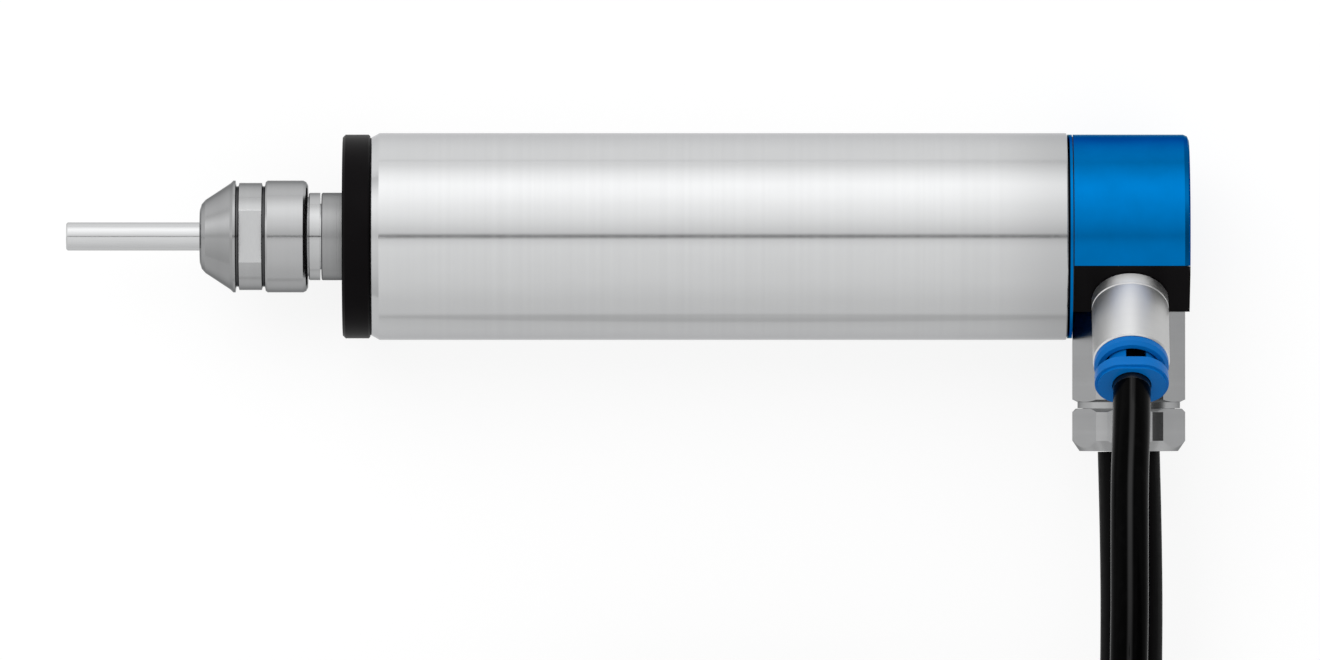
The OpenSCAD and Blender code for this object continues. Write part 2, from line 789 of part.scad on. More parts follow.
module collet_nut() {
    nose_r = nut_mouth_r + 1.25;
    cone_l = nut_l - skirt_l - flats_l - 0.5;
    nut_r = nut_d / 2;
    color("silver") difference() {
        turned([
            [nut_mouth_r, nut_front_x], [nose_r - 0.3, nut_front_x], [nose_r + 0.3, nut_front_x + 0.2],
            [nose_r + 0.75, nut_front_x + 0.6], [nut_r - 0.3, flats_x - 0.65],
            [nut_r, flats_x - 0.35], [nut_r, flats_x - 0.1], [flats_band_r - nut_groove, flats_x],
            [flats_band_r - nut_groove, flats_x + 0.2], [flats_band_r, flats_x + 0.3],
            [flats_band_r, skirt_x - 0.2], [flats_band_r - nut_groove, skirt_x - 0.1],
            [flats_band_r - nut_groove, skirt_x + 0.1], [nut_r - 0.15, skirt_x + 0.2],
            [nut_r, skirt_x + 0.4], [nut_r, nut_back_x - 0.5], [nut_r - 0.15, nut_back_x - 0.2],
            [nut_r - 0.5, nut_back_x], [thread_r + screw_fit, nut_back_x],
            [thread_r + screw_fit, head_back_x - 0.5], [head_r, head_back_x - 0.7],
            [head_r, collet_front_x + collet_bevel_l],
            [collet_bore_r + collet_face + 0.1, collet_front_x - 0.1],
            [nut_mouth_r, collet_front_x - 0.1]
        ]);
        for (side = [-1, 1]) translate([flats_x + 0.3, -nut_d, side * flats_w / 2 - (side < 0 ? nut_d : 0)])
            cube([flats_l - 0.5, 2 * nut_d, nut_d]);
    }
}

module test_bar() {
    tip = 0.15;
    color("whitesmoke") turned([
        [0, bar_front_x], [bar_d / 2 - tip, bar_front_x], [bar_d / 2, bar_front_x + tip],
        [bar_d / 2, bar_back_x - tip], [bar_d / 2 - tip, bar_back_x], [0, bar_back_x]
    ]);
}

// Air fitting
module air_fitting() {
    line = 0.12;
    color("silver") on_air_axis() rotate_extrude() polygon([
        [air_bore_r, facet_reach - fitting_thread_l],
        [fitting_thread_r - 0.3, facet_reach - fitting_thread_l],
        [fitting_thread_r, facet_reach + 0.3 - fitting_thread_l], [fitting_thread_r, facet_reach],
        [fitting_r - 0.1, facet_reach], [fitting_r, facet_reach + 0.1],
        [fitting_r, facet_reach + 1.4], [fitting_r - line, facet_reach + 1.4 + line],
        [fitting_r, facet_reach + 1.4 + 2 * line], [fitting_r, fitting_end - 0.15],
        [fitting_r - 0.15, fitting_end], [fitting_bore_r, fitting_end], [fitting_bore_r, seal_start],
        [hose_r + screw_fit, seal_start], [hose_r + screw_fit, hose_stop], [air_bore_r, hose_stop]
    ]);
}

module port_gasket() {
    color("#202020") on_air_axis() translate([0, 0, facet_reach - port_gasket_t]) difference() {
        cylinder(h = port_gasket_t, r = fitting_thread_r + port_gasket_w - 0.1);
        translate([0, 0, -cut]) cylinder(h = port_gasket_t + 2 * cut, r = fitting_thread_r + screw_fit);
    }
}

module hose_seal() {
    lip = 0.3;
    color("#202020") on_air_axis() translate([0, 0, seal_start]) rotate_extrude() polygon([
        [hose_r + seat_fit, 0], [fitting_bore_r - seat_fit, 0], [fitting_bore_r - seat_fit, seal_l],
        [hose_r + 0.9, seal_l - lip], [hose_r + seat_fit, seal_l]
    ]);
}

module hose_claw() {
    teeth = 8;
    color("silver") on_air_axis() translate([0, 0, claw_start]) difference() {
        rotate_extrude() polygon([
            [hose_r + 0.1, 0], [hose_r + 0.35, 0], [fitting_bore_r - 0.6, claw_l - 0.2],
            [fitting_bore_r - seat_fit, claw_l - 0.2], [fitting_bore_r - seat_fit, claw_l],
            [fitting_bore_r - 0.7, claw_l]
        ]);
        for (i = [0:teeth - 1]) rotate([0, 0, i * 360 / teeth]) translate([0, -0.15, -cut])
            cube([fitting_bore_r - 0.7, 0.3, 2 * cut + claw_l]);
    }
}

module guide_collar() {
    color("#1a62c4") on_air_axis() rotate_extrude() polygon([
        [collar_bore_r, collar_start], [fitting_bore_r - seat_fit, collar_start],
        [fitting_bore_r - seat_fit, fitting_end], [collar_r - 0.15, fitting_end],
        [collar_r, fitting_end + 0.15], [collar_r, collar_end - 0.35], [collar_r - 0.35, collar_end],
        [collar_bore_r, collar_end]
    ]);
}

// The release ring: a slotted sleeve round the hose with an oval button on its end
module release_ring() {
    crown = 0.3;
    color("#1a62c4") on_air_axis() difference() {
        union() {
            translate([0, 0, release_start]) cylinder(h = button_start - release_start + 0.1, r = release_r);
            for (step = [0, 1]) translate([0, 0, button_start + step * (button_t - crown)])
                linear_extrude(step == 0 ? button_t - crown : crown) oval(step * crown);
        }
        translate([0, 0, release_start - cut])
            cylinder(h = button_end - release_start + 2 * cut, r = hose_r + release_fit);
        for (i = [0:release_slots - 1]) rotate([0, 0, 80 + i * 360 / release_slots])
            translate([0, -release_slot_w / 2, release_start - cut])
                cube([2 * release_r, release_slot_w, button_start - release_start + cut]);
    }
}

module oval(inset) {
    end_r = button_h / 2 - inset;
    spread = (button_w - button_h) / 2;
    square([2 * spread, 2 * end_r], center = true);
    for (side = [-1, 1]) translate([side * spread, 0]) circle(r = end_r);
}

module hose_end() {
    color("#0c0c0c") on_air_axis() translate([0, 0, hose_stop])
        cylinder(h = hose_exit - hose_stop, r = hose_r);
}

// Cord outlet and gland
module cord_outlet() {
    relief_gap = 0.2;
    color("silver") difference() {
        on_outlet_axis() difference() {
            union() {
                translate([0, 0, side_reach]) turned_hex(outlet_l, hex_chamfer / 2, hex_chamfer);
                translate([0, 0, side_reach - outlet_spigot_l])
                    cylinder(h = outlet_spigot_l + cut, r = outlet_spigot_r);
                translate([0, 0, outlet_end - cut]) cylinder(h = gland_gap + cut - 0.05, r = gland_collar_r);
                translate([0, 0, outlet_end]) cylinder(h = gland_thread_end - outlet_end, r = gland_thread_r);
            }
            translate([0, 0, -cut]) cylinder(h = outlet_end + 2 * side_reach, r = cord_bore_r);
            translate([0, 0, bush_start]) cylinder(h = outlet_l + 2 * side_reach, r = bush_r + seat_fit);
        }
        on_air_axis() translate([0, 0, facet_reach - cut])
            cylinder(h = fitting_l + 2 * cut, r = fitting_r + relief_gap);
    }
}

module cord_bush() {
    color("#202020") on_outlet_axis() translate([0, 0, bush_start]) difference() {
        cylinder(h = gland_thread_end - bush_start, r = bush_r);
        translate([0, 0, -cut]) cylinder(h = gland_end, r = cord_r + seat_fit);
    }
}

module gland_washer() {
    color("silver") on_outlet_axis() translate([0, 0, gland_thread_end]) difference() {
        cylinder(h = washer_t, r = gland_thread_r - 0.05);
        translate([0, 0, -cut]) cylinder(h = 2 * cut, r = cord_bore_r);
    }
}

module gland_nut() {
    color("silver") on_outlet_axis() translate([0, 0, gland_y]) difference() {
        turned_hex(gland_nut_l, 1.1, hex_chamfer);
        translate([0, 0, -cut])
            cylinder(h = gland_thread_end + washer_t - gland_y + cut, r = gland_thread_r + screw_fit);
        cylinder(h = gland_nut_l + cut, r = cord_r + 0.15);
        rotate_extrude() polygon([
            [hex_turned_d / 2 - 0.35, -cut], [hex_turned_d / 2 + cut, -cut],
            [hex_turned_d / 2 + cut, 0.35 + cut], [hex_turned_d / 2 - 0.35, 0]
        ]);
    }
}

module cord_end() {
    color("#0c0c0c") on_outlet_axis() translate([0, 0, cord_start])
        cylinder(h = gland_end - cord_start, r = cord_r);
}

// A tube of a given radius whose middle follows the points
function unit(v) = v / norm(v);
function heading(p, i) = unit(p[min(i + 1, len(p) - 1)] - p[max(i - 1, 0)]);
function sideways(p, i) = unit(cross(heading(p, i), [0, 0, 1]));
function tube_ring(p, i, radius, sides) = [
    for (j = [0:sides - 1])
        let (a = 360 * j / sides, s = sideways(p, i), u = cross(s, heading(p, i)))
            p[i] + radius * (cos(a) * s + sin(a) * u)
];

module tube(p, radius, sides) {
    last = (len(p) - 1) * sides;
    polyhedron(
        points = [for (i = [0:len(p) - 1]) each tube_ring(p, i, radius, sides)],
        faces = concat(
            [[for (j = [0:sides - 1]) sides - 1 - j], [for (j = [0:sides - 1]) last + j]],
            [for (i = [0:len(p) - 2], j = [0:sides - 1]) let (k = (j + 1) % sides)
                [i * sides + j, i * sides + k, (i + 1) * sides + k]],
            [for (i = [0:len(p) - 2], j = [0:sides - 1]) let (k = (j + 1) % sides)
                [i * sides + j, (i + 1) * sides + k, (i + 1) * sides + j]]
        )
    );
}

// The outer form of a round coil that lies flat, with its lower edge at zero
module coil_form(width, wide, high, round) {
    rotate_extrude() translate([width / 2 - wide / 2, 0]) {
        translate([round, 0]) square([wide - 2 * round, high]);
        translate([0, round]) square([wide, high - 2 * round]);
        for (x = [round, wide - round], y = [round, high - round]) translate([x, y]) circle(r = round);
    }
}

// A strap round a coil's bundle at one place, clear of the inner turns' curve
module coil_tie(width, wide, high) {
    in_r = (width - wide) / 2;
    start_r = sqrt(pow(in_r, 2) - pow(tie_w / 2, 2)) - tie_gap;
    inner_w = in_r + wide + tie_gap - start_r;
    translate([start_r - tie_t, tie_w / 2, 0]) rotate([90, 0, 0])
        linear_extrude(tie_w) difference() {
            square([inner_w + 2 * tie_t, high + 2 * tie_t + tie_gap]);
            translate([tie_t, tie_t]) square([inner_w, high + tie_gap]);
        }
}

module motor_cord() {
    color("#0c0c0c") tube(cord_route, cord_r, 10);
}

module cord_coil() {
    color("#0c0c0c") translate([coil_centre[0], coil_centre[1], cord_coil_z])
        coil_form(cord_coil_d, cord_coil_wide, cord_coil_high, cord_r);
}

module cord_ties() {
    color("#26262a") translate([coil_centre[0], coil_centre[1], floor_z])
        for (a = cord_tie_angles) rotate([0, 0, a]) coil_tie(cord_coil_d, cord_coil_wide, cord_coil_high);
}

module cord_tail() {
    color("#0c0c0c") tube(tail_route, cord_r, 10);
}

module air_hose() {
    color("#0c0c0c") tube(hose_route, hose_r, 8);
}

module hose_coil() {
    color("#0c0c0c") translate([coil_centre[0], coil_centre[1], hose_coil_z])
        coil_form(hose_coil_d, hose_coil_wide, hose_coil_high, hose_r);
}

module hose_ties() {
    color("#26262a") translate([coil_centre[0], coil_centre[1], floor_z])
        for (a = hose_tie_angles) rotate([0, 0, a]) coil_tie(hose_coil_d, hose_coil_wide, hose_coil_high);
}

// Puts what is drawn along +Z on the plug's axis, which runs towards +Y
module on_plug_axis() {
    translate([plug_x, plug_y, plug_z]) rotate([-90, 0, 0]) children();
}

// The tapered bend relief of the plug, with grooves that let it bend
module plug_relief() {
    start_r = cord_r + 0.5;
    taper_l = relief_l - 2;
    color("#151515") on_plug_axis() rotate_extrude() difference() {
        polygon([[0, 0], [start_r, 0], [relief_r, taper_l], [relief_r, relief_l], [0, relief_l]]);
        for (i = [0:relief_grooves - 1]) let (z = 1 + i * relief_pitch)
            translate([start_r + (relief_r - start_r) * z / taper_l - relief_groove_depth, z])
                square([2 * relief_groove_depth, relief_groove_w]);
    }
}

module plug_shell() {
    step_z = relief_l + plug_step_l;
    end_z = relief_l + plug_l;
    color("silver") on_plug_axis() rotate_extrude() polygon([
        [0, relief_l], [plug_r - 2.4, relief_l], [plug_r - 1.6, relief_l + 1], [plug_r - 1.6, step_z - 1],
        [plug_r - 1, step_z], [plug_r - 1, end_z], [plug_r - 2, end_z],
        [plug_r - 2, end_z - insert_l], [0, end_z - insert_l]
    ]);
}

module plug_ring() {
    grooves = 24;
    color("dimgray") on_plug_axis() translate([0, 0, ring_start]) difference() {
        rotate_extrude() polygon([
            [plug_r - 1 + turning_fit, 0], [plug_r - 0.4, 0], [plug_r, 0.4], [plug_r, ring_l - 0.4],
            [plug_r - 0.4, ring_l], [plug_r - 1 + turning_fit, ring_l]
        ]);
        for (i = [0:grooves - 1]) rotate([0, 0, i * 360 / grooves]) translate([plug_r, 0, 1.5])
            rotate([0, 0, 45]) cube([0.5, 0.5, ring_l - 4]);
    }
}

module plug_insert() {
    color("#151515") on_plug_axis() translate([0, 0, relief_l + plug_l - insert_l]) difference() {
        cylinder(h = insert_l - 1, r = plug_r - 2 - seat_fit);
        for (i = [0:pins - 1]) rotate([0, 0, i * 360 / pins]) translate([plug_r - 4, 0, insert_l - 3])
            cylinder(h = insert_l, r = pin_hole_r);
    }
}

housing_tube();
nose_ring();
front_cap();
front_bearing_outer_rings();
front_bearing_inner_rings();
front_bearing_balls();
front_bearing_cages();
outer_spacer();
inner_spacer();
bearing_clamp_ring();
front_lock_nut();
spindle_shaft();
rotor_magnet();
rotor_sleeve();
balance_rings();
stator_core();
stator_windings();
sensor_board();
hall_sensors();
rear_bearing_holder();
rear_bearing_outer_ring();
rear_bearing_inner_ring();
rear_bearing_balls();
rear_bearing_cage();
preload_spring();
rear_lock_nut();
rear_flange();
rear_gasket();
rear_cover();
port_block();
cover_screws();
motor_leads();
collet();
collet_nut();
test_bar();
air_fitting();
port_gasket();
hose_seal();
hose_claw();
guide_collar();
release_ring();
hose_end();
cord_outlet();
cord_bush();
gland_washer();
gland_nut();
cord_end();
motor_cord();
cord_coil();
cord_ties();
cord_tail();
plug_shell();
plug_ring();
plug_insert();
plug_relief();
air_hose();
hose_coil();
hose_ties();
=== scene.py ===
"""Looks of a high-speed spindle: its finishes, its coiled motor cord and air hose, and a plain studio.

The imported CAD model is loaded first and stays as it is. Everything made here lies in its frame, in metres:
X runs along the spindle with the nose towards -X, and +Z is up from the surface that the spindle lies on.
"""
import json
import math

import bpy
import numpy as np
from bpy.props import FloatProperty, FloatVectorProperty, IntProperty, PointerProperty
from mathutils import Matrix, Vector


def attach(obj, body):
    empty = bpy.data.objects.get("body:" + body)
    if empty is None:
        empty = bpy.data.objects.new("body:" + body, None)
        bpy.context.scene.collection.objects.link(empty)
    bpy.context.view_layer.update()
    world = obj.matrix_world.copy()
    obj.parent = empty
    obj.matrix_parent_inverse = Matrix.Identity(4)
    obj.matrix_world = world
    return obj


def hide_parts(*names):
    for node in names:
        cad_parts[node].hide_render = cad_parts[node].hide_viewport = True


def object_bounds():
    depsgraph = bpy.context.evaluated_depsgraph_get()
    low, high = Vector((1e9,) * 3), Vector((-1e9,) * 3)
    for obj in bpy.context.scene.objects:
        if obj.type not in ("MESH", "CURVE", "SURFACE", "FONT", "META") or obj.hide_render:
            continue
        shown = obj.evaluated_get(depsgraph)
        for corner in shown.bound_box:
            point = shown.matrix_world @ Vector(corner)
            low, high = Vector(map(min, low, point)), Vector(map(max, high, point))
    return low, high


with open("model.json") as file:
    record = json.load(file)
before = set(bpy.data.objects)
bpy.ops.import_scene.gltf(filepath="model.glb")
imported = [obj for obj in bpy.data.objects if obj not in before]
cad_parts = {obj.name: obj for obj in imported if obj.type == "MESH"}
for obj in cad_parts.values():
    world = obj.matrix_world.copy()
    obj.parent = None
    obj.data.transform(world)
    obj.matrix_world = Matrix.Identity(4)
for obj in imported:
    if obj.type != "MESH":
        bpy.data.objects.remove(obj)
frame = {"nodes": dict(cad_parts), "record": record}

bl_info = {
    "name": "High-speed spindle",
    "version": (1, 0, 0),
    "blender": (4, 5, 0),
    "location": "View3D > Sidebar > Spindle",
    "description": "Finishes, cord, air hose and studio for a slim motor spindle",
    "category": "Object",
}

MM = 0.001
TURN = 2 * math.pi
TO_X, TO_Y, UP = np.eye(3)
CAD_BOX = [list(corner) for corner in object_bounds()]
FLOOR_Z = CAD_BOX[0][2]
NODE_SLOT = {part["node"]: part["material_slot"] for part in frame["record"]["subparts"]}

# The axis of the air fitting, and where its foot ends at its groove, along that axis
AIR_AXIS = (0.0, -math.sqrt(0.5), math.sqrt(0.5))
FOOT_END = 0.01095
# The place along X of the fitting and the cord outlet, in millimetres
OUTLET_X = 79.62

# Along X: where the painted shade on the blue ring's front edge ends, where the housing turns a little
# darker at once, and where the painted shade that darkens its rear end starts and ends
GAP_SHADE_X = 0.07324
DARKER_STEP_X, PAINTED_SHADE_FROM, PAINTED_SHADE_TO = 0.061, 0.064, 0.073

# The collet nut's wrench flats: their height above the axis, their middle along X, and half their length
FLATS_Z, FLATS_X, FLATS_HALF = 0.005, -0.0137, 0.00125
# Along X: the two grooves beside the flats, painted dark as shade, and the end of the nut's cone
NUT_GROOVES = (-0.0151, -0.0123)
CONE_END = -0.0153

# Points on the middle of the cord, the hose and the cord's tail where they lie free, in millimetres
CORD_ROUTE = [
    (OUTLET_X, -22.8, 0), (79.8, -30, 0), (79.92, -38, -0.4), (79.9, -47, -1.6), (79.8, -56, -3.4),
    (79.6, -65, -5.2), (79.6, -75, -6.6),
]
TAIL_ROUTE = [
    (21, -133.6, 9.4), (13, -133.4, 6.6), (5, -131.6, 3.6), (-2.5, -128, 0.8), (-8.6, -122.6, -1.4),
    (-12.6, -116, -2.8), (-14.6, -109, -3.4), (-15, -103, -3.5), (-15, -99, -3.5),
]
HOSE_ROUTE = [
    (OUTLET_X, -16.334, 16.334), (79.47, -20.334, 20.334), (79.22, -26, 24.6), (79.13, -33, 27.8),
    (79.08, -41, 29.4), (78.85, -49, 29.2), (77.9, -57, 27.4), (76, -65, 24.8), (73, -73, 22.4),
    (69.5, -80, 20.6), (66, -87, 18.4), (63.5, -94, 15.4), (61.6, -102, 11.8),
]
# The middle of both coils
COIL_CENTRE = (39.3, -94.0)
# In degrees: how far a strand turns before it leaves its first place in a coil, from then to each next
# leaving, and while it slides over
FIRST_TURN, EACH_TURN, SLIDE = 300, 340, 50

# The places of the strands in a coil, as (column, layer), in the order in which the run fills them
CORD_PLACES = [(1, 0), (0, 0), (0, 1), (1, 1), (1, 2), (0, 2), (0, 3), (1, 3)]
HOSE_PLACES = [
    (2, 4), (1, 4), (0, 4), (0, 3), (1, 3), (2, 3), (2, 2), (1, 2), (0, 2), (0, 1), (1, 1), (2, 1),
    (2, 0), (1, 0), (0, 0),
]

# The direction in which a strap starts, in degrees above the level, and the length that it overlaps
STRAP_START, OVERLAP = 50, 14 * MM

# The plug: where its axis starts. Its contact pins: the places along it where they start and end, the
# radius of their circle, their own radius, and their number.
PLUG_START = (-15.0, -99.0, -3.5)
PIN_FROM, PIN_TO, PIN_CIRCLE_R, PIN_R, PINS = 37.0, 39.5, 3.5, 0.42, 8

# The point that the camera looks down on, and half the side of the studio's floor
VIEW_CENTRE = (0.0298, -0.00994)
FLOOR_HALF = 4.0

# The light panels that reflections show: degrees from straight up towards +Y, and brightness. The ramp that
# holds them goes up to PANEL_TOP.
PANELS = [
    (-180, 0.9), (-95, 0.8), (-75, 0.83), (-50, 0.94), (-26, 1.0), (-12, 1.04), (0, 0.9), (6, 0.92),
    (13, 1.05), (24, 1.22), (35, 1.33), (47, 1.49), (60, 1.56), (73, 1.36), (87, 1.07), (110, 1.0),
]
PANEL_TOP = 1.6


# ---------------------------------------------------------------- node graphs

class Level:
    """A socket of a node graph. An expression on levels adds the Math nodes that work it out."""

    def __init__(self, graph, socket):
        self.graph = graph
        self.socket = socket

    def _math(self, operation, *values):
        node = self.graph.node("ShaderNodeMath", {"operation": operation}, dict(enumerate(values)))
        return Level(self.graph, node.outputs[0])

    def __add__(self, other):
        return self._math("ADD", self, other)

    def __sub__(self, other):
        return self._math("SUBTRACT", self, other)

    def __rsub__(self, other):
        return self._math("SUBTRACT", other, self)

    def __mul__(self, other):
        return self._math("MULTIPLY", self, other)

    def __truediv__(self, other):
        return self._math("DIVIDE", self, other)

    def __rtruediv__(self, other):
        return self._math("DIVIDE", other, self)

    __radd__ = __add__
    __rmul__ = __mul__

    def sine(self):
        return self._math("SINE", self)

    def size(self):
        return self._math("ABSOLUTE", self)

    def part(self):
        """What is left of the level above the whole number under it."""
        return self._math("FRACT", self)

    def angle(self, other):
        """The angle of the direction whose height is this level and whose width is the other."""
        return self._math("ARCTAN2", self, other)

    def most(self, other):
        return self._math("MAXIMUM", self, other)

    def rise(self, start, end):
        """A smooth step from 0 at start to 1 at end."""
        node = self.graph.node(
            "ShaderNodeMapRange", {"interpolation_type": "SMOOTHSTEP"},
            {"Value": self, "From Min": start, "From Max": end})
        return Level(self.graph, node.outputs[0])


class Graph:
    """The nodes of a material or of the world, and the patterns that they are built from."""

    def __init__(self, owner):
        owner.use_nodes = True
        self.nodes = owner.node_tree.nodes
        self.links = owner.node_tree.links

    def node(self, kind, settings=None, values=None):
        """Adds a node: its settings first, then the values or links of its sockets."""
        new = self.nodes.new(kind)
        for name, value in (settings or {}).items():
            if name == "stops":
                self._set_stops(new.color_ramp, value)
            else:
                setattr(new, name, value)
        for name, value in (values or {}).items():
            self.put(new.inputs[name], value)
        return new

    def _set_stops(self, ramp, stops):
        while len(ramp.elements) < len(stops):
            ramp.elements.new(1.0)
        for element, (place, colour) in zip(ramp.elements, stops):
            element.position = place
            element.color = (*colour, 1.0)

    def put(self, socket, value):
        if isinstance(value, Level):
            self.links.new(value.socket, socket)
        elif hasattr(value, "is_linked"):
            self.links.new(value, socket)
        elif socket.type == "RGBA" and len(value) == 3:
            socket.default_value = (*value, 1.0)
        else:
            socket.default_value = value

    def split(self, vector):
        """The three numbers of a vector, as levels."""
        return [Level(self, side) for side in self.node("ShaderNodeSeparateXYZ", None, {0: vector}).outputs]

    def rays(self):
        """Levels that are 1 for the camera's own rays, and for those off a mirror or through glass."""
        kinds = self.node("ShaderNodeLightPath").outputs
        glass = Level(self, kinds["Is Transmission Ray"])
        return Level(self, kinds["Is Camera Ray"]), Level(self, kinds["Is Glossy Ray"]).most(glass)

    def blend(self, factor, first, second):
        """The first colour where the factor is 0, and the second where it is 1."""
        mix = self.node("ShaderNodeMix", {"data_type": "RGBA"}, {0: factor, 6: first, 7: second})
        return mix.outputs[2]


class Finish(Graph):
    """One material, with a Principled shader and patterns that hold to the object's own coordinates.

    Its constants are the shader's sockets by name, such as specular_tint for Specular Tint.
    """

    def __init__(self, **constants):
        self.material = bpy.data.materials.new("finish")
        super().__init__(self.material)
        self.shader = self.nodes["Principled BSDF"]
        self.point = self.node("ShaderNodeTexCoord").outputs["Object"]
        self.x, self.y, self.z = self.split(self.point)
        for name, value in constants.items():
            self.feed(name.replace("_", " ").title().replace("Ior", "IOR"), value)

    def along(self, direction):
        """How far a point lies along a direction from the origin."""
        node = self.node(
            "ShaderNodeVectorMath", {"operation": "DOT_PRODUCT"}, {0: self.point, 1: direction})
        return Level(self, node.outputs["Value"])

    def grooves(self, pitch, detail=2.0, direction=(1, 0, 0)):
        """Uneven rings or lines across a direction, about a pitch apart."""
        node = self.node(
            "ShaderNodeTexNoise", {"noise_dimensions": "1D"},
            {"W": self.along(direction) / pitch, "Scale": 1.0, "Detail": detail, "Roughness": 0.6})
        return Level(self, node.outputs[0])

    def grain(self, pitch, detail=2.0, stretch=(1.0, 1.0, 1.0)):
        """Uneven spots about a pitch apart, longer where stretch is over 1."""
        scaled = self.node(
            "ShaderNodeVectorMath", {"operation": "DIVIDE"},
            {0: self.point, 1: tuple(pitch * s for s in stretch)}).outputs[0]
        node = self.node(
            "ShaderNodeTexNoise", None,
            {"Vector": scaled, "Scale": 1.0, "Detail": detail, "Roughness": 0.55})
        return Level(self, node.outputs[0])

    def run(self):
        """A swept piece's own map, in metres: along its run, and round or across it."""
        return self.split(self.node("ShaderNodeUVMap", {"uv_map": "run"}).outputs[0])[:2]

    def feed(self, name, value):
        """Sets or links one of the shader's sockets."""
        self.put(self.shader.inputs[name], value)

    def colour(self, factor, first, second):
        self.feed("Base Color", self.blend(factor, first, second))

    def roughness(self, level):
        self.feed("Roughness", level)

    def relief(self, height, depth):
        """Raises the surface by a height of 0 to 1 times the depth, in metres."""
        bump = self.node("ShaderNodeBump", None, {"Strength": 1.0, "Distance": depth, "Height": height})
        self.feed("Normal", bump.outputs[0])


def shade(colour, amount):
    """A colour made darker, or lighter where the amount is over 1."""
    return tuple(min(1.0, c * amount) for c in colour)


# ---------------------------------------------------------------- finishes

def turned_metal(colour, roughness, direction=(1, 0, 0), pitch=0.09, depth=0.0004, spread=0.9):
    """Metal with fine rings from the lathe round a direction, and a faint drift of tone.

    Here and below, the pitch of the pattern and the depth of its relief are in millimetres.
    """
    f = Finish(metallic=1.0, specular_tint=shade(colour, 0.9))
    rings = f.grooves(pitch * MM, 3.0, direction)
    bands = f.grooves(pitch * 14 * MM, direction=direction)
    drift = f.grain(6 * MM)
    f.colour(bands * 0.5 + drift * 0.5, shade(colour, spread), shade(colour, 2 - spread))
    f.roughness((rings * 0.4 + 0.8) * roughness)
    f.relief(rings, depth * MM)
    return f


def plain_metal(colour, roughness, pitch=0.25, depth=0.0006):
    """Metal with a satin surface from tumbling or plating."""
    f = Finish(metallic=1.0)
    spots = f.grain(pitch * MM, 4.0)
    drift = f.grain(4 * MM)
    f.colour(drift, shade(colour, 0.88), shade(colour, 1.1))
    f.roughness((spots * 0.5 + 0.75) * roughness)
    f.relief(spots, depth * MM)
    return f


def moulded(colour, roughness, pitch=0.18, depth=0.002, gloss=0.5):
    """Plastic or rubber with the fine grain of its mould."""
    f = Finish(specular_ior_level=gloss)
    spots = f.grain(pitch * MM, 3.0)
    drift = f.grain(5 * MM)
    f.colour(drift, shade(colour, 0.85), shade(colour, 1.15))
    f.roughness((spots * 0.4 + 0.8) * roughness)
    f.relief(spots, depth * MM)
    return f


def nut_steel(look):
    """The collet nut: fine rings from the lathe, a cone darkened with painted shade, grooves painted dark as
    shade, and milled flats lightened with a painted highlight.
    """
    steel = shade(look.steel, 0.71)
    f = Finish(metallic=1.0, specular_tint=shade(steel, 0.9))
    rings = f.grooves(0.11 * MM, 3.0)
    bands = f.grooves(1.5 * MM)
    drift = f.grain(5 * MM)
    milled = f.grain(0.1 * MM, 3.0, (1.0, 9.0, 1.0))
    soft = 0.03 * MM
    flat = f.z.size().rise(FLATS_Z - 0.05 * MM, FLATS_Z - 0.02 * MM) * (
        1 - (f.x - FLATS_X).size().rise(FLATS_HALF - soft, FLATS_HALF + soft))
    tone = bands * 0.5 + drift * 0.5
    # Painted shade: the cone gets a darker tone than the rest of the nut.
    turned = f.blend(f.x.rise(CONE_END - 0.05 * MM, CONE_END),
                     f.blend(tone, shade(steel, 0.76), shade(steel, 0.94)),
                     f.blend(tone, shade(steel, 0.9), shade(steel, 1.1)))
    # Painted highlight: the milled flats are much lighter than the turned faces, besides their milled grain.
    faces = f.blend(flat, turned, f.blend(milled, shade(steel, 1.4), shade(steel, 1.6)))
    # Painted shade: the two grooves beside the flats are near black.
    first, second = (1 - (f.x - x).size().rise(0.1 * MM, 0.18 * MM) for x in NUT_GROOVES)
    f.colour(first.most(second) * 0.88, faces, (0.02, 0.02, 0.022))
    f.roughness((1 - flat) * (rings * 0.06 + 0.1) + flat * (milled * 0.1 + 0.36))
    f.relief((1 - flat) * rings + flat * milled * 0.4, 0.0026 * MM)
    return f


def housing_steel(look):
    """Ground steel: fine marks round the housing, faint broader bands, a small step to a darker tone, and
    painted shade that darkens the rear end.
    """
    f = Finish(metallic=1.0, specular_tint=(0.75, 0.75, 0.76))
    fine = f.grooves(0.07 * MM, 3.0)
    bands = f.grooves(0.9 * MM, 3.0)
    rubbed = f.grain(2.2 * MM, 4.0, (3.0, 1.0, 1.0))
    ground = f.blend(bands * 0.55 + rubbed * 0.45, shade(look.steel, 0.94), shade(look.steel, 1.05))
    edge = f.x.rise(DARKER_STEP_X, DARKER_STEP_X + 0.8 * MM)
    # A little darker at once past the first mark, then painted shade that darkens the last few millimetres
    # towards the rear end.
    f.colour(edge * 0.15 + f.x.rise(PAINTED_SHADE_FROM, PAINTED_SHADE_TO) * 0.85, ground, shade(look.steel, 0.8))
    f.roughness(fine * 0.05 + bands * 0.03 + rubbed * 0.03 + 0.075)
    f.relief(fine * 0.6 + bands * 0.4, 0.0005 * MM)
    return f


def blue_anodised(look):
    """Dyed aluminium: a turned surface under a clear, uneven dye, with painted shade along the ring's front
    edge, where it meets the housing.
    """
    f = Finish(metallic=1.0, specular_tint=(0.0, 0.3, 0.45))
    rings = f.grooves(0.12 * MM, 3.0)
    drift = f.grain(3 * MM, 3.0)
    specks = f.grain(0.35 * MM, 3.0).rise(0.74, 0.82)
    dye = f.blend(drift, shade(look.blue_anodised, 0.9), shade(look.blue_anodised, 1.1))
    dyed = f.blend(specks * 0.12, dye, (0.1, 0.2, 0.3))
    # Painted shade: the ring's front edge is near black, standing in for the shade in the gap to the
    # housing.
    f.colour(f.x.rise(GAP_SHADE_X, GAP_SHADE_X + 0.06 * MM), (0.002, 0.002, 0.003), dyed)
    f.roughness(rings * 0.12 + 0.18)
    f.relief(rings, 0.0006 * MM)
    return f


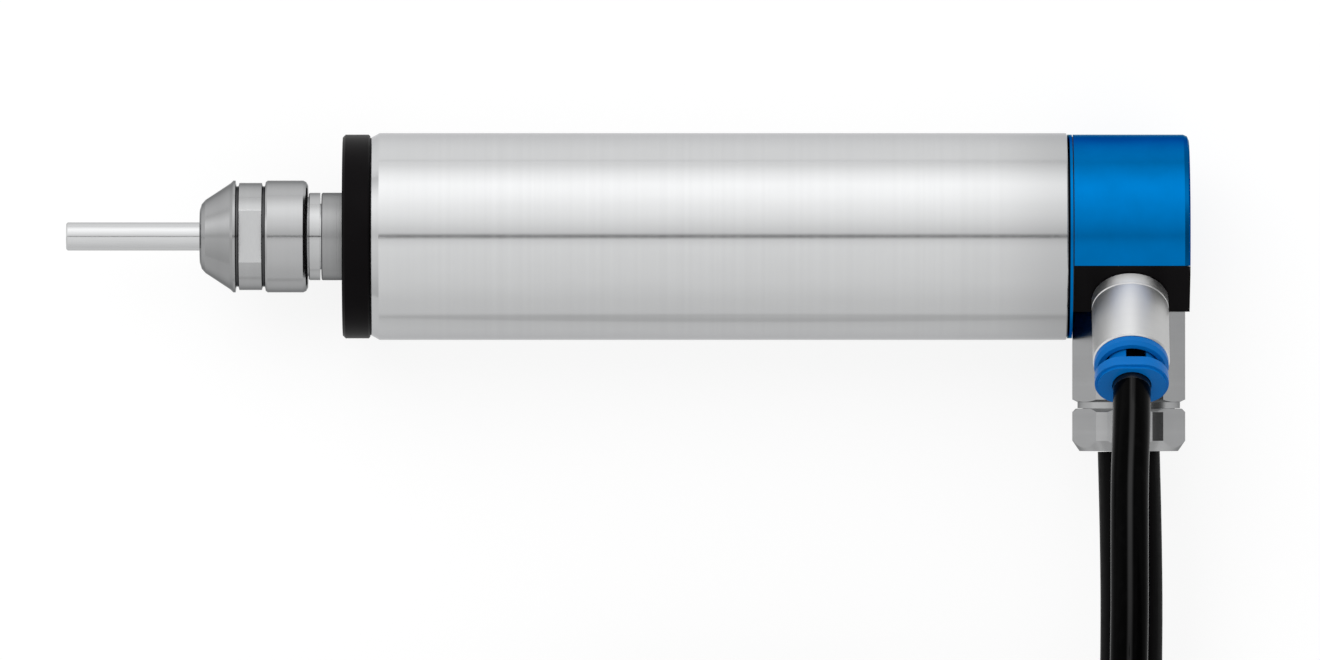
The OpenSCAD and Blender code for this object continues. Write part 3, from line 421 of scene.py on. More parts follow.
def black_anodised(look):
    """Black aluminium with a fine blasted skin and a soft shine."""
    f = Finish(specular_ior_level=0.05)
    black = look.black_anodised
    blasted = f.grain(0.09 * MM, 3.0)
    drift = f.grain(2.5 * MM, 3.0)
    specks = f.grain(0.5 * MM, 2.0).rise(0.74, 0.8)
    f.colour(specks * 0.3, f.blend(drift, shade(black, 0.7), shade(black, 1.4)), (0.02, 0.019, 0.019))
    f.roughness(blasted * 0.16 + 0.34)
    f.relief(blasted, 0.0012 * MM)
    return f


def polished_bar(look):
    """The bar: ground and polished along its length, with hair lines."""
    f = Finish(metallic=1.0, specular_tint=(0.7, 0.7, 0.7))
    hairs = f.grain(0.05 * MM, 3.0, (60.0, 1.0, 1.0))
    rings = f.grooves(0.3 * MM)
    f.colour(hairs, shade(look.steel, 0.94), shade(look.steel, 1.08))
    f.roughness(hairs * 0.05 + rings * 0.03 + 0.07)
    f.relief(hairs * 0.7 + rings * 0.3, 0.0002 * MM)
    return f


def black_oxide(look):
    """Steel blackened with oxide, browner where it is worn."""
    f = Finish(metallic=1.0)
    spots = f.grain(0.2 * MM, 4.0)
    worn = f.grain(1.1 * MM, 3.0).rise(0.55, 0.75)
    f.colour(worn, (0.035, 0.035, 0.037), (0.11, 0.10, 0.095))
    f.roughness(spots * 0.2 + 0.32)
    f.relief(spots, 0.0015 * MM)
    return f


def stacked_sheets(look):
    """The stator's sheets: thin lines between them, and a film of varnish."""
    f = Finish(metallic=0.85)
    sheet = (f.x / (0.35 * MM)).part()
    edge = (sheet - 0.5).size().rise(0.36, 0.48)
    drift = f.grain(1.5 * MM, 3.0)
    f.colour(edge, f.blend(drift, (0.22, 0.23, 0.25), (0.36, 0.37, 0.39)), (0.07, 0.06, 0.05))
    f.roughness(drift * 0.2 + 0.36)
    f.relief(1 - edge, 0.02 * MM)
    return f


def wound_wire(look):
    """Varnished copper wire: strands that run round the end windings, in uneven layers, with painted shade
    in the grooves between them.
    """
    f = Finish(metallic=1.0)
    wave = f.grain(0.4 * MM, 1.0)
    reach = (f.y * f.y + f.z * f.z) / (2.2 * MM * MM)
    strands = ((reach + f.x / (0.5 * MM)) * TURN + wave * 3.0).sine()
    groove = strands.rise(-0.9, 0.2)
    # Painted shade: the grooves between the strands are darker.
    f.colour(groove, (0.16, 0.05, 0.018), (0.60, 0.25, 0.09))
    f.roughness(wave * 0.15 + 0.2)
    f.relief(groove, 0.05 * MM)
    return f


def board_lacquer(look):
    """A green board with lighter tracks under its lacquer."""
    f = Finish(coat_weight=0.5)
    tracks = (f.grain(1.1 * MM, 1.0) * 9.0).part().rise(0.8, 0.9)
    f.colour(tracks, (0.004, 0.055, 0.018), (0.02, 0.16, 0.05))
    f.roughness(f.grain(0.2 * MM) * 0.15 + 0.25)
    f.relief(tracks, 0.03 * MM)
    return f


def cage_resin(look):
    """Woven resin of the ball cages."""
    f = Finish()
    threads = TURN / (0.5 * MM)
    weave = (f.x * threads).sine() * (f.y * threads).sine() * 0.5 + 0.5
    drift = f.grain(0.8 * MM, 3.0)
    f.colour(weave * 0.6 + drift * 0.4, (0.12, 0.045, 0.014), (0.28, 0.12, 0.04))
    f.roughness(drift * 0.2 + 0.4)
    f.relief(weave, 0.02 * MM)
    return f


def fitting_metal(look):
    """The air fitting: satin metal turned round its own axis, with a painted highlight on the top of its
    foot, made by lowering its metallic there.
    """
    f = turned_metal((0.83, 0.83, 0.825), 0.42, AIR_AXIS, 0.1, 0.0008, 0.95)
    # Painted highlight: the top of the foot is made less metallic, so it shows lighter and without the dark
    # reflection.
    foot = 1 - f.along(AIR_AXIS).rise(FOOT_END - 0.1 * MM, FOOT_END)
    top = 1 - (f.x - OUTLET_X * MM).size().rise(1.0 * MM, 3.0 * MM)
    f.feed("Metallic", 1 - foot * top * 0.6)
    return f


def cord_jacket(look):
    """The cord's jacket: a satin skin with faint lengthwise drag lines and a little dust."""
    f = Finish(specular_ior_level=0.035)
    along, round_it = f.run()
    stretched = {0: along / (9 * MM), 1: round_it / (0.35 * MM)}
    place = f.node("ShaderNodeCombineXYZ", None, stretched).outputs[0]
    noise = f.node(
        "ShaderNodeTexNoise", {"noise_dimensions": "2D"}, {"Vector": place, "Scale": 1.0, "Detail": 3.0})
    lines = Level(f, noise.outputs[0])
    dust = f.grain(1.3 * MM, 4.0).rise(0.5, 0.8)
    skin = f.blend(lines, shade(look.cord, 0.7), shade(look.cord, 1.3))
    f.colour(dust * 0.5, skin, shade(look.cord, 2.6))
    f.roughness(lines * 0.1 + dust * 0.12 + 0.42)
    f.relief(lines, 0.012 * MM)
    return f


def hose_skin(look):
    """The air hose: smooth black polyurethane with slight scuffs, and a painted highlight: a glossy coat in
    a line along its top.

    The top is a quarter of the way round, where the map's second coordinate is a quarter of the girth.
    """
    f = Finish(specular_ior_level=0.02, coat_roughness=0.1)
    _, round_it = f.run()
    top = bpy.context.scene.spindle_sizes.hose_d * math.pi / 4
    # Painted highlight: the coat lies only in a narrow line along the hose's top, where a highlight shows.
    f.feed("Coat Weight", (1 - (round_it - top).size().rise(0.08 * MM, 0.42 * MM)) * 0.55)
    scuffs = f.grain(0.9 * MM, 4.0, (1.0, 2.5, 1.0))
    fine = f.grain(0.15 * MM, 2.0)
    f.colour(scuffs.rise(0.45, 0.8), look.hose, shade(look.hose, 2.6))
    f.roughness(scuffs * 0.14 + fine * 0.06 + 0.08)
    f.relief(fine, 0.0015 * MM)
    return f


def woven_strap(look):
    """A woven strap: warp threads that pass over and under the weft, with a little fuzz."""
    f = Finish()
    along, across = f.run()
    warp = (across * (TURN / (0.55 * MM))).sine()
    weft = (along * (TURN / (0.7 * MM))).sine()
    cloth = warp * weft * 0.5 + 0.5
    fuzz = f.grain(0.12 * MM, 3.0)
    f.colour(cloth * 0.7 + fuzz * 0.3, shade(look.strap, 0.5), shade(look.strap, 1.6))
    f.roughness(fuzz * 0.2 + 0.7)
    f.relief(cloth * 0.8 + fuzz * 0.2, 0.09 * MM)
    return f


# The finish of each material slot of the record. The stubs are the cord and the hose inside their gland and
# fitting, which have no map along their run.
FINISHES = {
    "housing_steel": housing_steel,
    "cap_steel": lambda look: turned_metal(
        shade(look.steel, 0.57), 0.3, pitch=0.16, depth=0.003, spread=0.84),
    "shaft_steel": lambda look: turned_metal(shade(look.steel, 0.8), 0.1, pitch=0.1, depth=0.0014),
    "nut_steel": nut_steel,
    "collet_steel": lambda look: turned_metal(shade(look.steel, 0.7), 0.2),
    "bar_steel": polished_bar,
    "bearing_steel": lambda look: turned_metal(shade(look.steel, 1.05), 0.1, depth=0.0002),
    "lock_steel": black_oxide,
    "ball_steel": lambda look: plain_metal((0.72, 0.73, 0.75), 0.05, depth=0.00005),
    "cage_resin": cage_resin,
    "magnet": lambda look: plain_metal((0.10, 0.11, 0.12), 0.45, depth=0.003),
    "sleeve_steel": lambda look: turned_metal((0.34, 0.36, 0.40), 0.25),
    "balance_brass": lambda look: turned_metal((0.60, 0.42, 0.13), 0.2),
    "core_steel": stacked_sheets,
    "winding_copper": wound_wire,
    "board": board_lacquer,
    "chip": lambda look: moulded((0.008, 0.008, 0.009), 0.5),
    "holder_aluminium": lambda look: turned_metal((0.62, 0.63, 0.65), 0.28, depth=0.001),
    "spring_steel": lambda look: plain_metal((0.30, 0.32, 0.36), 0.22),
    "black_anodised": black_anodised,
    "blue_anodised": blue_anodised,
    "seal_rubber": lambda look: moulded((0.012, 0.012, 0.012), 0.65),
    "screw_steel": black_oxide,
    "lead_insulation": lambda look: moulded((0.34, 0.008, 0.006), 0.35),
    "fitting_metal": fitting_metal,
    "blue_plastic": lambda look: moulded(look.blue_plastic, 0.33, 0.12, 0.0012, 0.12),
    "claw_steel": lambda look: plain_metal(look.steel, 0.18),
    "hose_plastic": hose_skin,
    "hose_stub": lambda look: moulded(look.hose, 0.3),
    "outlet_steel": lambda look: turned_metal(
        shade(look.steel, 0.76), 0.2, direction=(0, 1, 0), pitch=0.12, depth=0.0012, spread=0.86),
    "cord_jacket": cord_jacket,
    "jacket_stub": lambda look: moulded(look.cord, 0.5),
    "strap": woven_strap,
    "plug_metal": lambda look: turned_metal(
        (0.55, 0.55, 0.54), 0.22, direction=(0, 1, 0), pitch=0.14, depth=0.0008),
    "plug_plastic": lambda look: moulded((0.014, 0.014, 0.015), 0.5, 0.2, 0.004),
}


def material_of(slot):
    """The material of a slot, made the first time that it is asked for."""
    name = "finish_" + slot
    if name not in bpy.data.materials:
        FINISHES[slot](bpy.context.scene.spindle_look).material.name = name
    return bpy.data.materials[name]


def dress(*names, slot=None):
    """Gives CAD nodes the finish of their own slot, or of a slot that is named."""
    for name in names:
        materials = frame["nodes"][name].data.materials
        materials.clear()
        materials.append(material_of(slot or NODE_SLOT[name]))


# ---------------------------------------------------------------- surfaces and lines

def reach_of(line):
    """The length along a line up to each of its points."""
    return np.concatenate([[0.0], np.cumsum(np.linalg.norm(np.diff(line, axis=0), axis=1))])


def unit(vectors):
    return vectors / np.linalg.norm(vectors, axis=1, keepdims=True)


def smooth_line(points, step):
    """A smooth line through points, at even steps of length.

    Between two points it is a cubic whose slope at each point is the mean of the chords beside it,
    weighted by their lengths. The line is then measured and divided evenly.
    """
    p = np.asarray(points, float)
    t = reach_of(p)
    slope = np.gradient(p, t, axis=0)
    fine = np.linspace(0.0, t[-1], int(t[-1] / step) * 8)
    i = np.clip(np.searchsorted(t, fine, side="right") - 1, 0, len(t) - 2)
    h = (t[i + 1] - t[i])[:, None]
    s = (fine - t[i])[:, None] / h
    line = ((2 * s**3 - 3 * s**2 + 1) * p[i] + (s**3 - 2 * s**2 + s) * h * slope[i]
            + (3 * s**2 - 2 * s**3) * p[i + 1] + (s**3 - s**2) * h * slope[i + 1])
    return even_line(line, step)


def even_line(line, step):
    """The same line with its points at even steps of length."""
    reach = reach_of(line)
    marks = np.linspace(0.0, reach[-1], max(2, int(round(reach[-1] / step)) + 1))
    return np.stack([np.interp(marks, reach, line[:, k]) for k in range(3)], axis=1)


def length_of(line):
    return float(np.linalg.norm(np.diff(line, axis=0), axis=1).sum())


def make_piece(name, points, faces, uv, slot):
    """A mesh object from points, faces and a map, smooth except at sharp edges.

    It rides on the housing. The steel doesn't mirror it, because it lies where the view shows only white.
    """
    mesh = bpy.data.meshes.new(name)
    mesh.from_pydata(points.tolist(), [], faces)
    mesh.update()
    mesh.uv_layers.new(name="run").data.foreach_set("uv", uv)
    mesh.shade_smooth()
    mesh.set_sharp_from_angle(angle=math.radians(35))
    piece = bpy.data.objects.new(name, mesh)
    bpy.context.scene.collection.objects.link(piece)
    piece.data.materials.append(material_of(slot))
    piece.visible_glossy = False
    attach(piece, "housing")
    return piece


def sweep(centres, sides, ups, outline):
    """A closed outline carried along a line of centres.

    Point (i, j) is centre i, plus the outline's first coordinate j along side i, plus its second along
    up i. Returns the points, the faces with a flat cap at each end, and the map: the length along the line,
    and the length round the outline.
    """
    rows, columns = len(centres), len(outline)
    points = (centres[:, None] + outline[None, :, :1] * sides[:, None]
              + outline[None, :, 1:] * ups[:, None]).reshape(-1, 3)
    i, j = np.meshgrid(np.arange(rows - 1), np.arange(columns), indexing="ij")
    k = (j + 1) % columns
    quads = np.stack([i * columns + j, i * columns + k, (i + 1) * columns + k, (i + 1) * columns + j], -1)
    reach = reach_of(centres)
    girth = reach_of(np.concatenate([outline, outline[:1]]))
    u = np.stack([reach[i], reach[i], reach[i + 1], reach[i + 1]], -1)
    v = np.stack([girth[j], girth[j + 1], girth[j + 1], girth[j]], -1)
    walls = np.stack([u, v], -1).reshape(-1)
    caps = np.concatenate([
        np.stack([np.full(columns, end), girth[:-1]], -1).reshape(-1) for end in (reach[0], reach[-1])
    ])
    faces = quads.reshape(-1, 4).tolist()
    faces.append(list(range(columns))[::-1])
    faces.append(list(range((rows - 1) * columns, rows * columns)))
    return points, faces, np.concatenate([walls, caps])


def round_outline(radius, sides):
    """A circle of a radius as a closed outline, turning from the first coordinate to the second."""
    a = np.arange(sides) * TURN / sides
    return radius * np.stack([np.cos(a), np.sin(a)], -1)


def headings(line):
    """Unit vectors along a line, sideways of it on the level, and up from it."""
    ahead = unit(np.gradient(line, axis=0))
    side = unit(np.cross(ahead, UP))
    return ahead, side, np.cross(side, ahead)


def tube(line, radius, sides, bore=0.0, bore_depth=0.0):
    """A round tube along a line. With a bore, its far end is cut square and open to a depth.

    The open end is made of two more rings of the bore's radius: its mouth, on the last place of the line,
    and its floor, at the depth.
    """
    ahead, side, up = headings(line)
    scale = np.ones(len(line))
    if bore:
        inward = line[-1] - ahead[-1] * bore_depth
        line = np.concatenate([line, line[-1:], inward[None]])
        side, up = (np.concatenate([v, v[-1:], v[-1:]]) for v in (side, up))
        scale = np.concatenate([scale, [bore / radius] * 2])
    ring = round_outline(radius, sides)
    return sweep(line, side * scale[:, None], up * scale[:, None], ring)


def coil_run(places, start_angle, inner_r, pitch, low_z, last_turn):
    """The turns of a coil in millimetres, from its places in order.

    The run goes round clockwise, seen from above. It leaves each place after a little under one turn, and
    slides to the next one on a smooth step, so that a climbing strand is past before the one beside it
    moves. Radius is inner_r plus pitch times the column, and height low_z plus pitch times the layer.
    Angles are in degrees, with a point about every 5.
    """
    columns, layers = np.array(places, float).T
    total = FIRST_TURN + EACH_TURN * (len(places) - 2) + SLIDE + last_turn
    turned = np.linspace(0.0, total, int(total / 5) + 1)
    starts = FIRST_TURN + EACH_TURN * np.arange(len(places) - 1)
    s = np.clip((turned[:, None] - starts) / SLIDE, 0, 1)
    s = s * s * (3 - 2 * s)
    column = columns[0] + (s * np.diff(columns)).sum(1)
    layer = layers[0] + (s * np.diff(layers)).sum(1)
    a = np.radians(start_angle - turned)
    r = inner_r + pitch * column
    x, y = COIL_CENTRE
    return np.stack([x + r * np.cos(a), y + r * np.sin(a), low_z + pitch * layer], -1)


def settle(line, diameter, lowest, step, fixed, rounds=70):
    """Moves the strands of a run apart where they would pass through each other.

    Each pair of points that is nearer than a diameter, and more than 2.2 diameters from each other on the
    run, is pushed apart by a part of what is missing. The pushes are averaged along the run, so that it
    bends smoothly. It stays above a lowest height, and a number of fixed points at each end stay in place.
    """
    start = line.copy()
    place = np.arange(len(line)) * step
    apart = np.abs(place[:, None] - place) > 2.2 * diameter
    kernel = np.hanning(9)[1:-1] / np.hanning(9)[1:-1].sum()
    for _ in range(rounds):
        gap = line[:, None] - line
        distance = np.sqrt((gap**2).sum(-1)) + 1e-9
        push = np.where(apart, np.clip(diameter - distance, 0, None), 0) / distance
        move = 0.35 * (push[:, :, None] * gap).sum(1)
        move = np.stack([np.convolve(move[:, k], kernel, "same") for k in range(3)], 1)
        line = line + np.clip(move, -0.1 * diameter, 0.1 * diameter)
        line[:, 2] = np.maximum(line[:, 2], lowest)
        line[:fixed] = start[:fixed]
        line[-fixed:] = start[-fixed:]
    return line


def strap_line(centres, radius, angle, half_width):
    """The inner line of a strap round a bundle, in the upright plane at an angle about the coil's centre.

    For each direction round the plane, the line passes the strand that reaches furthest that way, at the
    strand's radius, as a tight band does. Returns the line in metres, measured evenly, and the plane's
    sideways vector.
    """
    a = math.radians(angle)
    out = np.array([math.cos(a), math.sin(a), 0.0])
    across = np.array([-math.sin(a), math.cos(a), 0.0])
    middle = np.array([*COIL_CENTRE, 0.0]) * MM
    local = centres - middle
    near = (np.abs(local @ across) < half_width) & (local @ out > 0)
    spots = np.stack([local[near] @ out, local[near, 2]], -1)
    turn = np.linspace(0, TURN, 241) + math.radians(STRAP_START)
    facing = np.stack([np.cos(turn), np.sin(turn)], -1)
    furthest = spots[np.argmax(spots @ facing.T, axis=0)] + radius * facing
    loop = middle + furthest[:, :1] * out + furthest[:, 1:] * UP
    return even_line(loop, step=0.7 * MM), across


# ---------------------------------------------------------------- settings

class SpindleLook(bpy.types.PropertyGroup):
    """The colours of the finishes, as plain light values."""

    steel: FloatVectorProperty(
        name="Steel", description="Colour of the ground and turned steel",
        default=(0.60, 0.605, 0.61), subtype="COLOR", min=0, max=1)
    blue_anodised: FloatVectorProperty(
        name="Blue anodised", description="Colour of the flange ring and the rear cover",
        default=(0.0, 0.145, 0.43), subtype="COLOR", min=0, max=1)
    black_anodised: FloatVectorProperty(
        name="Black anodised", description="Colour of the nose ring and the port block",
        default=(0.0028, 0.0022, 0.0026), subtype="COLOR", min=0, max=1)
    blue_plastic: FloatVectorProperty(
        name="Blue plastic", description="Colour of the fitting's collar and release ring",
        default=(0.001, 0.15, 0.50), subtype="COLOR", min=0, max=1)
    cord: FloatVectorProperty(
        name="Cord", description="Colour of the motor cord's jacket",
        default=(0.0010, 0.0009, 0.0010), subtype="COLOR", min=0, max=1)
    hose: FloatVectorProperty(
        name="Hose", description="Colour of the air hose",
        default=(0.0007, 0.0007, 0.0007), subtype="COLOR", min=0, max=1)
    strap: FloatVectorProperty(
        name="Straps", description="Colour of the straps round the coils",
        default=(0.03, 0.03, 0.034), subtype="COLOR", min=0, max=1)


class SpindleSizes(bpy.types.PropertyGroup):
    """The sizes of the cord, the hose and their straps."""

    cord_d: FloatProperty(
        name="Cord diameter", description="Outside diameter of the motor cord",
        default=0.0066, unit="LENGTH", min=0.004, max=0.009, precision=4)
    cord_inner_r: FloatProperty(
        name="Cord coil radius", description="Radius of the cord coil's inner turns",
        default=0.0337, unit="LENGTH", min=0.03, max=0.05, precision=4)
    hose_d: FloatProperty(
        name="Hose diameter", description="Outside diameter of the air hose",
        default=0.004, unit="LENGTH", min=0.003, max=0.006, precision=4)
    hose_bore: FloatProperty(
        name="Hose bore", description="Inside diameter of the air hose at its open end",
        default=0.0025, unit="LENGTH", min=0.001, max=0.0035, precision=4)
    hose_inner_r: FloatProperty(
        name="Hose coil radius", description="Radius of the hose coil's inner turns",
        default=0.016, unit="LENGTH", min=0.014, max=0.03, precision=4)
    strap_w: FloatProperty(
        name="Strap width", description="Width of the straps round the coils",
        default=0.006, unit="LENGTH", min=0.004, max=0.01, precision=4)
    strap_t: FloatProperty(
        name="Strap thickness", description="Thickness of the straps round the coils",
        default=0.0008, unit="LENGTH", min=0.0004, max=0.002, precision=4)
    tube_sides: IntProperty(
        name="Tube sides", description="Faces round the cord and the hose", default=20, min=8, max=48)


class SpindleStudio(bpy.types.PropertyGroup):
    """The camera and the light."""

    camera_height: FloatProperty(
        name="Camera height", description="Height of the camera above the spindle's axis",
        default=2.4, unit="LENGTH", min=0.3, max=3)
    view_width: FloatProperty(
        name="View width", description="Width of the picture at the height of the spindle's axis",
        default=0.1403, unit="LENGTH", min=0.05, max=1, precision=4)
    sky: FloatProperty(
        name="Soft light", description="Strength of the even light from all sides",
        default=0.74, min=0, max=2)
    key: FloatProperty(
        name="Key light", description="Strength of the soft light from the side", default=1.0, min=0, max=5)


# ---------------------------------------------------------------- operators

class SPINDLE_OT_studio(bpy.types.Operator):
    """Camera straight above the spindle, a pale floor, even light and a soft key light"""

    bl_idname = "spindle.studio"
    bl_label = "Studio"

    def execute(self, context):
        studio = context.scene.spindle_studio
        self.set_camera(context.scene, studio)
        self.set_floor(context.scene)
        self.set_world(context.scene, studio)
        self.set_key(context.scene, studio)
        context.scene.view_settings.view_transform = "Standard"
        return {"FINISHED"}

    def set_camera(self, scene, studio):
        data = bpy.data.cameras.new("view_camera")
        data.sensor_width = 36.0
        data.lens = data.sensor_width * studio.camera_height / studio.view_width
        data.clip_start = 0.01
        data.clip_end = 20.0
        camera = bpy.data.objects.new("view_camera", data)
        camera.location = (*VIEW_CENTRE, studio.camera_height)
        scene.collection.objects.link(camera)
        scene.camera = camera

    def set_floor(self, scene):
        """A wide flat square. It shows white, darker in shadow, and greyer in reflections.

        There the side towards +Y is lighter, with a grey band across it, but darker past the rear end.
        """
        signs = (-1, -1), (1, -1), (1, 1), (-1, 1)
        corners = [(x * FLOOR_HALF, y * FLOOR_HALF, FLOOR_Z) for x, y in signs]
        mesh = bpy.data.meshes.new("studio_floor")
        mesh.from_pydata(corners, [], [(0, 1, 2, 3)])
        floor = bpy.data.objects.new("studio_floor", mesh)
        scene.collection.objects.link(floor)
        material = bpy.data.materials.new("studio_floor")
        g = Graph(material)
        g.nodes.clear()
        camera, mirror = g.rays()
        x, y, _ = g.split(g.node("ShaderNodeTexCoord").outputs["Object"])
        grey_band = y.rise(0.22, 0.27) * (1 - y.rise(0.29, 0.36)) * 0.3
        far_side = y.rise(-0.05, 0.05) * (0.25 - x.rise(0.085, 0.105) * 0.5)
        glow = camera * 0.83 + mirror * (far_side + 0.61 - grey_band)
        plain = g.node("ShaderNodeBsdfDiffuse", None, {"Color": (0.8, 0.8, 0.8)}).outputs[0]
        shadowed = g.node("ShaderNodeBsdfDiffuse", None, {"Color": (0.2, 0.2, 0.2)}).outputs[0]
        white = g.node("ShaderNodeEmission", None, {"Color": (1, 1, 1), "Strength": glow}).outputs[0]
        shown = g.node("ShaderNodeAddShader", None, {0: shadowed, 1: white}).outputs[0]
        mixed = g.node("ShaderNodeMixShader", None, {0: camera.most(mirror), 1: plain, 2: shown}).outputs[0]
        g.node("ShaderNodeOutputMaterial", None, {"Surface": mixed})
        mesh.materials.append(material)

    def set_world(self, scene, studio):
        """Even light on all surfaces, white behind them, and soft panels that only reflections show.

        The panels are bands round the X axis, by the angle from straight up. They are brightest in a strip
        over the spindle's length and dimmer beside it, with a dark spot overhead where the camera hangs and
        a black flag towards +X that widens upwards.
        """
        world = bpy.data.worlds.new("studio_world")
        scene.world = world
        g = Graph(world)
        g.nodes.clear()
        camera, mirror = g.rays()
        x, y, z = g.split(g.node("ShaderNodeTexCoord").outputs["Generated"])
        tilt = y.angle(z) / TURN + 0.5
        stops = [(angle / 360 + 0.5, (level / PANEL_TOP,) * 3) for angle, level in PANELS]
        panels = Level(g, g.node("ShaderNodeValToRGB", {"stops": stops}, {0: tilt}).outputs[0]) * PANEL_TOP
        off_camera = (x * x * 200.0 + y * y * 480.0).rise(0.25, 1.0)
        lid = 1 - z.rise(0.9, 0.95) * (1 - off_camera) * 0.95
        strip = 1 - x.size().rise(0.12, 0.35) * 0.34 + (0 - x).rise(0.6, 0.85) * 0.24
        flag = 1 - x.rise(0.66, 0.78) * (1 - (y.size() - z).rise(-0.2, 0.1)) * 0.92
        shine = panels * lid * strip * flag
        strength = camera + mirror * shine + (1 - camera.most(mirror)) * studio.sky
        background = g.node("ShaderNodeBackground", None, {"Color": (1, 1, 1), "Strength": strength})
        g.node("ShaderNodeOutputWorld", None, {"Surface": background.outputs[0]})

    def set_key(self, scene, studio):
        light = bpy.data.lights.new("key_light", "SUN")
        light.energy = studio.key
        light.angle = math.radians(50)
        lamp = bpy.data.objects.new("key_light", light)
        shines = Vector((0.35, -0.75, -1.0))
        lamp.rotation_euler = shines.to_track_quat("-Z", "Y").to_euler()
        lamp.visible_glossy = False
        scene.collection.objects.link(lamp)


class SPINDLE_OT_housing(bpy.types.Operator):
    """Ground steel housing, black nose ring and satin neck"""

    bl_idname = "spindle.housing"
    bl_label = "Housing"

    def execute(self, context):
        dress("housing_tube", "nose_ring", "front_cap")
        return {"FINISHED"}


class SPINDLE_OT_nose(bpy.types.Operator):
    """Shaft, collet, collet nut and the bar in it"""

    bl_idname = "spindle.nose"
    bl_label = "Nose"

    def execute(self, context):
        dress("spindle_shaft", "collet", "collet_nut", "test_bar")
        return {"FINISHED"}


class SPINDLE_OT_bearings(bpy.types.Operator):
    """Ball bearings, their spacers, nuts, spring and holder"""

    bl_idname = "spindle.bearings"
    bl_label = "Bearings"

    def execute(self, context):
        dress("front_bearing_outer_rings", "front_bearing_inner_rings", "front_bearing_balls",
              "front_bearing_cages", "outer_spacer", "inner_spacer", "bearing_clamp_ring", "front_lock_nut",
              "rear_bearing_holder", "rear_bearing_outer_ring", "rear_bearing_inner_ring",
              "rear_bearing_balls", "rear_bearing_cage", "preload_spring", "rear_lock_nut")
        return {"FINISHED"}


class SPINDLE_OT_motor(bpy.types.Operator):
    """Rotor, stator, sensor board and leads"""

    bl_idname = "spindle.motor"
    bl_label = "Motor"

    def execute(self, context):
        dress("rotor_magnet", "rotor_sleeve", "balance_rings", "stator_core", "stator_windings",
              "sensor_board", "hall_sensors", "motor_leads")
        return {"FINISHED"}


class SPINDLE_OT_rear_end(bpy.types.Operator):
    """Blue flange ring and cover, black port block, gasket and screws"""

    bl_idname = "spindle.rear_end"
    bl_label = "Rear end"

    def execute(self, context):
        dress("rear_flange", "rear_gasket", "rear_cover", "port_block", "cover_screws")
        return {"FINISHED"}


class SPINDLE_OT_air_fitting(bpy.types.Operator):
    """Air fitting with its seal, claw, collar, release ring and the hose's end"""

    bl_idname = "spindle.air_fitting"
    bl_label = "Air fitting"

    def execute(self, context):
        dress("air_fitting", "port_gasket", "hose_seal", "hose_claw", "guide_collar", "release_ring")
        dress("hose_end", slot="hose_stub")
        return {"FINISHED"}


class SPINDLE_OT_cord_outlet(bpy.types.Operator):
    """Cord outlet, gland nut, washer, bush and the cord's end"""

    bl_idname = "spindle.cord_outlet"
    bl_label = "Cord outlet"

    def execute(self, context):
        dress("cord_outlet", "cord_bush", "gland_washer", "gland_nut")
        dress("cord_end", slot="jacket_stub")
        return {"FINISHED"}


class SPINDLE_OT_motor_cord(bpy.types.Operator):
    """Motor cord: out of the gland, round in a coil, and on to its plug"""

    bl_idname = "spindle.motor_cord"
    bl_label = "Motor cord"

    def execute(self, context):
        sizes = context.scene.spindle_sizes
        line = cord_line(sizes)
        shape = tube(line, sizes.cord_d / 2, sizes.tube_sides)
        piece = make_piece("motor_cord_run", *shape, "cord_jacket")
        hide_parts("motor_cord", "cord_coil", "cord_tail")
        return {"FINISHED"}


class SPINDLE_OT_air_hose(bpy.types.Operator):
    """Air hose: out of the fitting in an arch, and down into a coil with an open end"""

    bl_idname = "spindle.air_hose"
    bl_label = "Air hose"

    def execute(self, context):
        sizes = context.scene.spindle_sizes
        line = hose_line(sizes)
        shape = tube(line, sizes.hose_d / 2, sizes.tube_sides, sizes.hose_bore / 2, bore_depth=3 * MM)
        piece = make_piece("air_hose_run", *shape, "hose_plastic")
        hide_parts("air_hose", "hose_coil")
        return {"FINISHED"}


class SPINDLE_OT_straps(bpy.types.Operator):
    """Woven straps that hold the two coils together"""

    bl_idname = "spindle.straps"
    bl_label = "Straps"

    def execute(self, context):
        sizes = context.scene.spindle_sizes
        for name, line, diameter, angles, node in (
                ("cord_strap", cord_line(sizes), sizes.cord_d, (-12, 168), "cord_ties"),
                ("hose_strap", hose_line(sizes), sizes.hose_d, (100, 280), "hose_ties")):
            for number, angle in enumerate(angles, 1):
                shape = strap(line, diameter / 2, angle, sizes)
                piece = make_piece(f"{name}_{number}", *shape, "strap")
                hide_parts(node)
        return {"FINISHED"}


class SPINDLE_OT_plug(bpy.types.Operator):
    """The plug's shell, ring, insert and bend relief, and the contact pins in it"""

    bl_idname = "spindle.plug"
    bl_label = "Plug"

    def execute(self, context):
        parts = ("plug_shell", "plug_ring", "plug_insert", "plug_relief")
        dress(*parts)
        for name in parts:
            frame["nodes"][name].visible_glossy = False
        for i in range(PINS):
            make_piece(f"contact_pin_{i + 1}", *contact_pin(i * TURN / PINS), "plug_metal")
        return {"FINISHED"}


def cord_line(sizes):
    """The middle of the motor cord, from the gland to the plug."""
    pitch = sizes.cord_d / MM
    low = FLOOR_Z / MM + sizes.strap_t / MM + pitch / 2
    coil = coil_run(CORD_PLACES, 0, sizes.cord_inner_r / MM, pitch, low, last_turn=220)
    step = 3 * MM
    line = smooth_line(np.concatenate([CORD_ROUTE, coil, TAIL_ROUTE]) * MM, step)
    line = settle(line, sizes.cord_d, low * MM, step, fixed=14)
    return smooth_line(line, step=2 * MM)


def hose_line(sizes):
    """The middle of the air hose, from the release ring to its open end."""
    pitch = sizes.hose_d / MM
    low = FLOOR_Z / MM + sizes.strap_t / MM + pitch / 2
    coil = coil_run(HOSE_PLACES, -34, sizes.hose_inner_r / MM, pitch, low, last_turn=200)
    step = 2.5 * MM
    line = smooth_line(np.concatenate([HOSE_ROUTE, coil]) * MM, step)
    line = settle(line, sizes.hose_d, low * MM, step, fixed=28)
    return smooth_line(line, step=1.6 * MM)


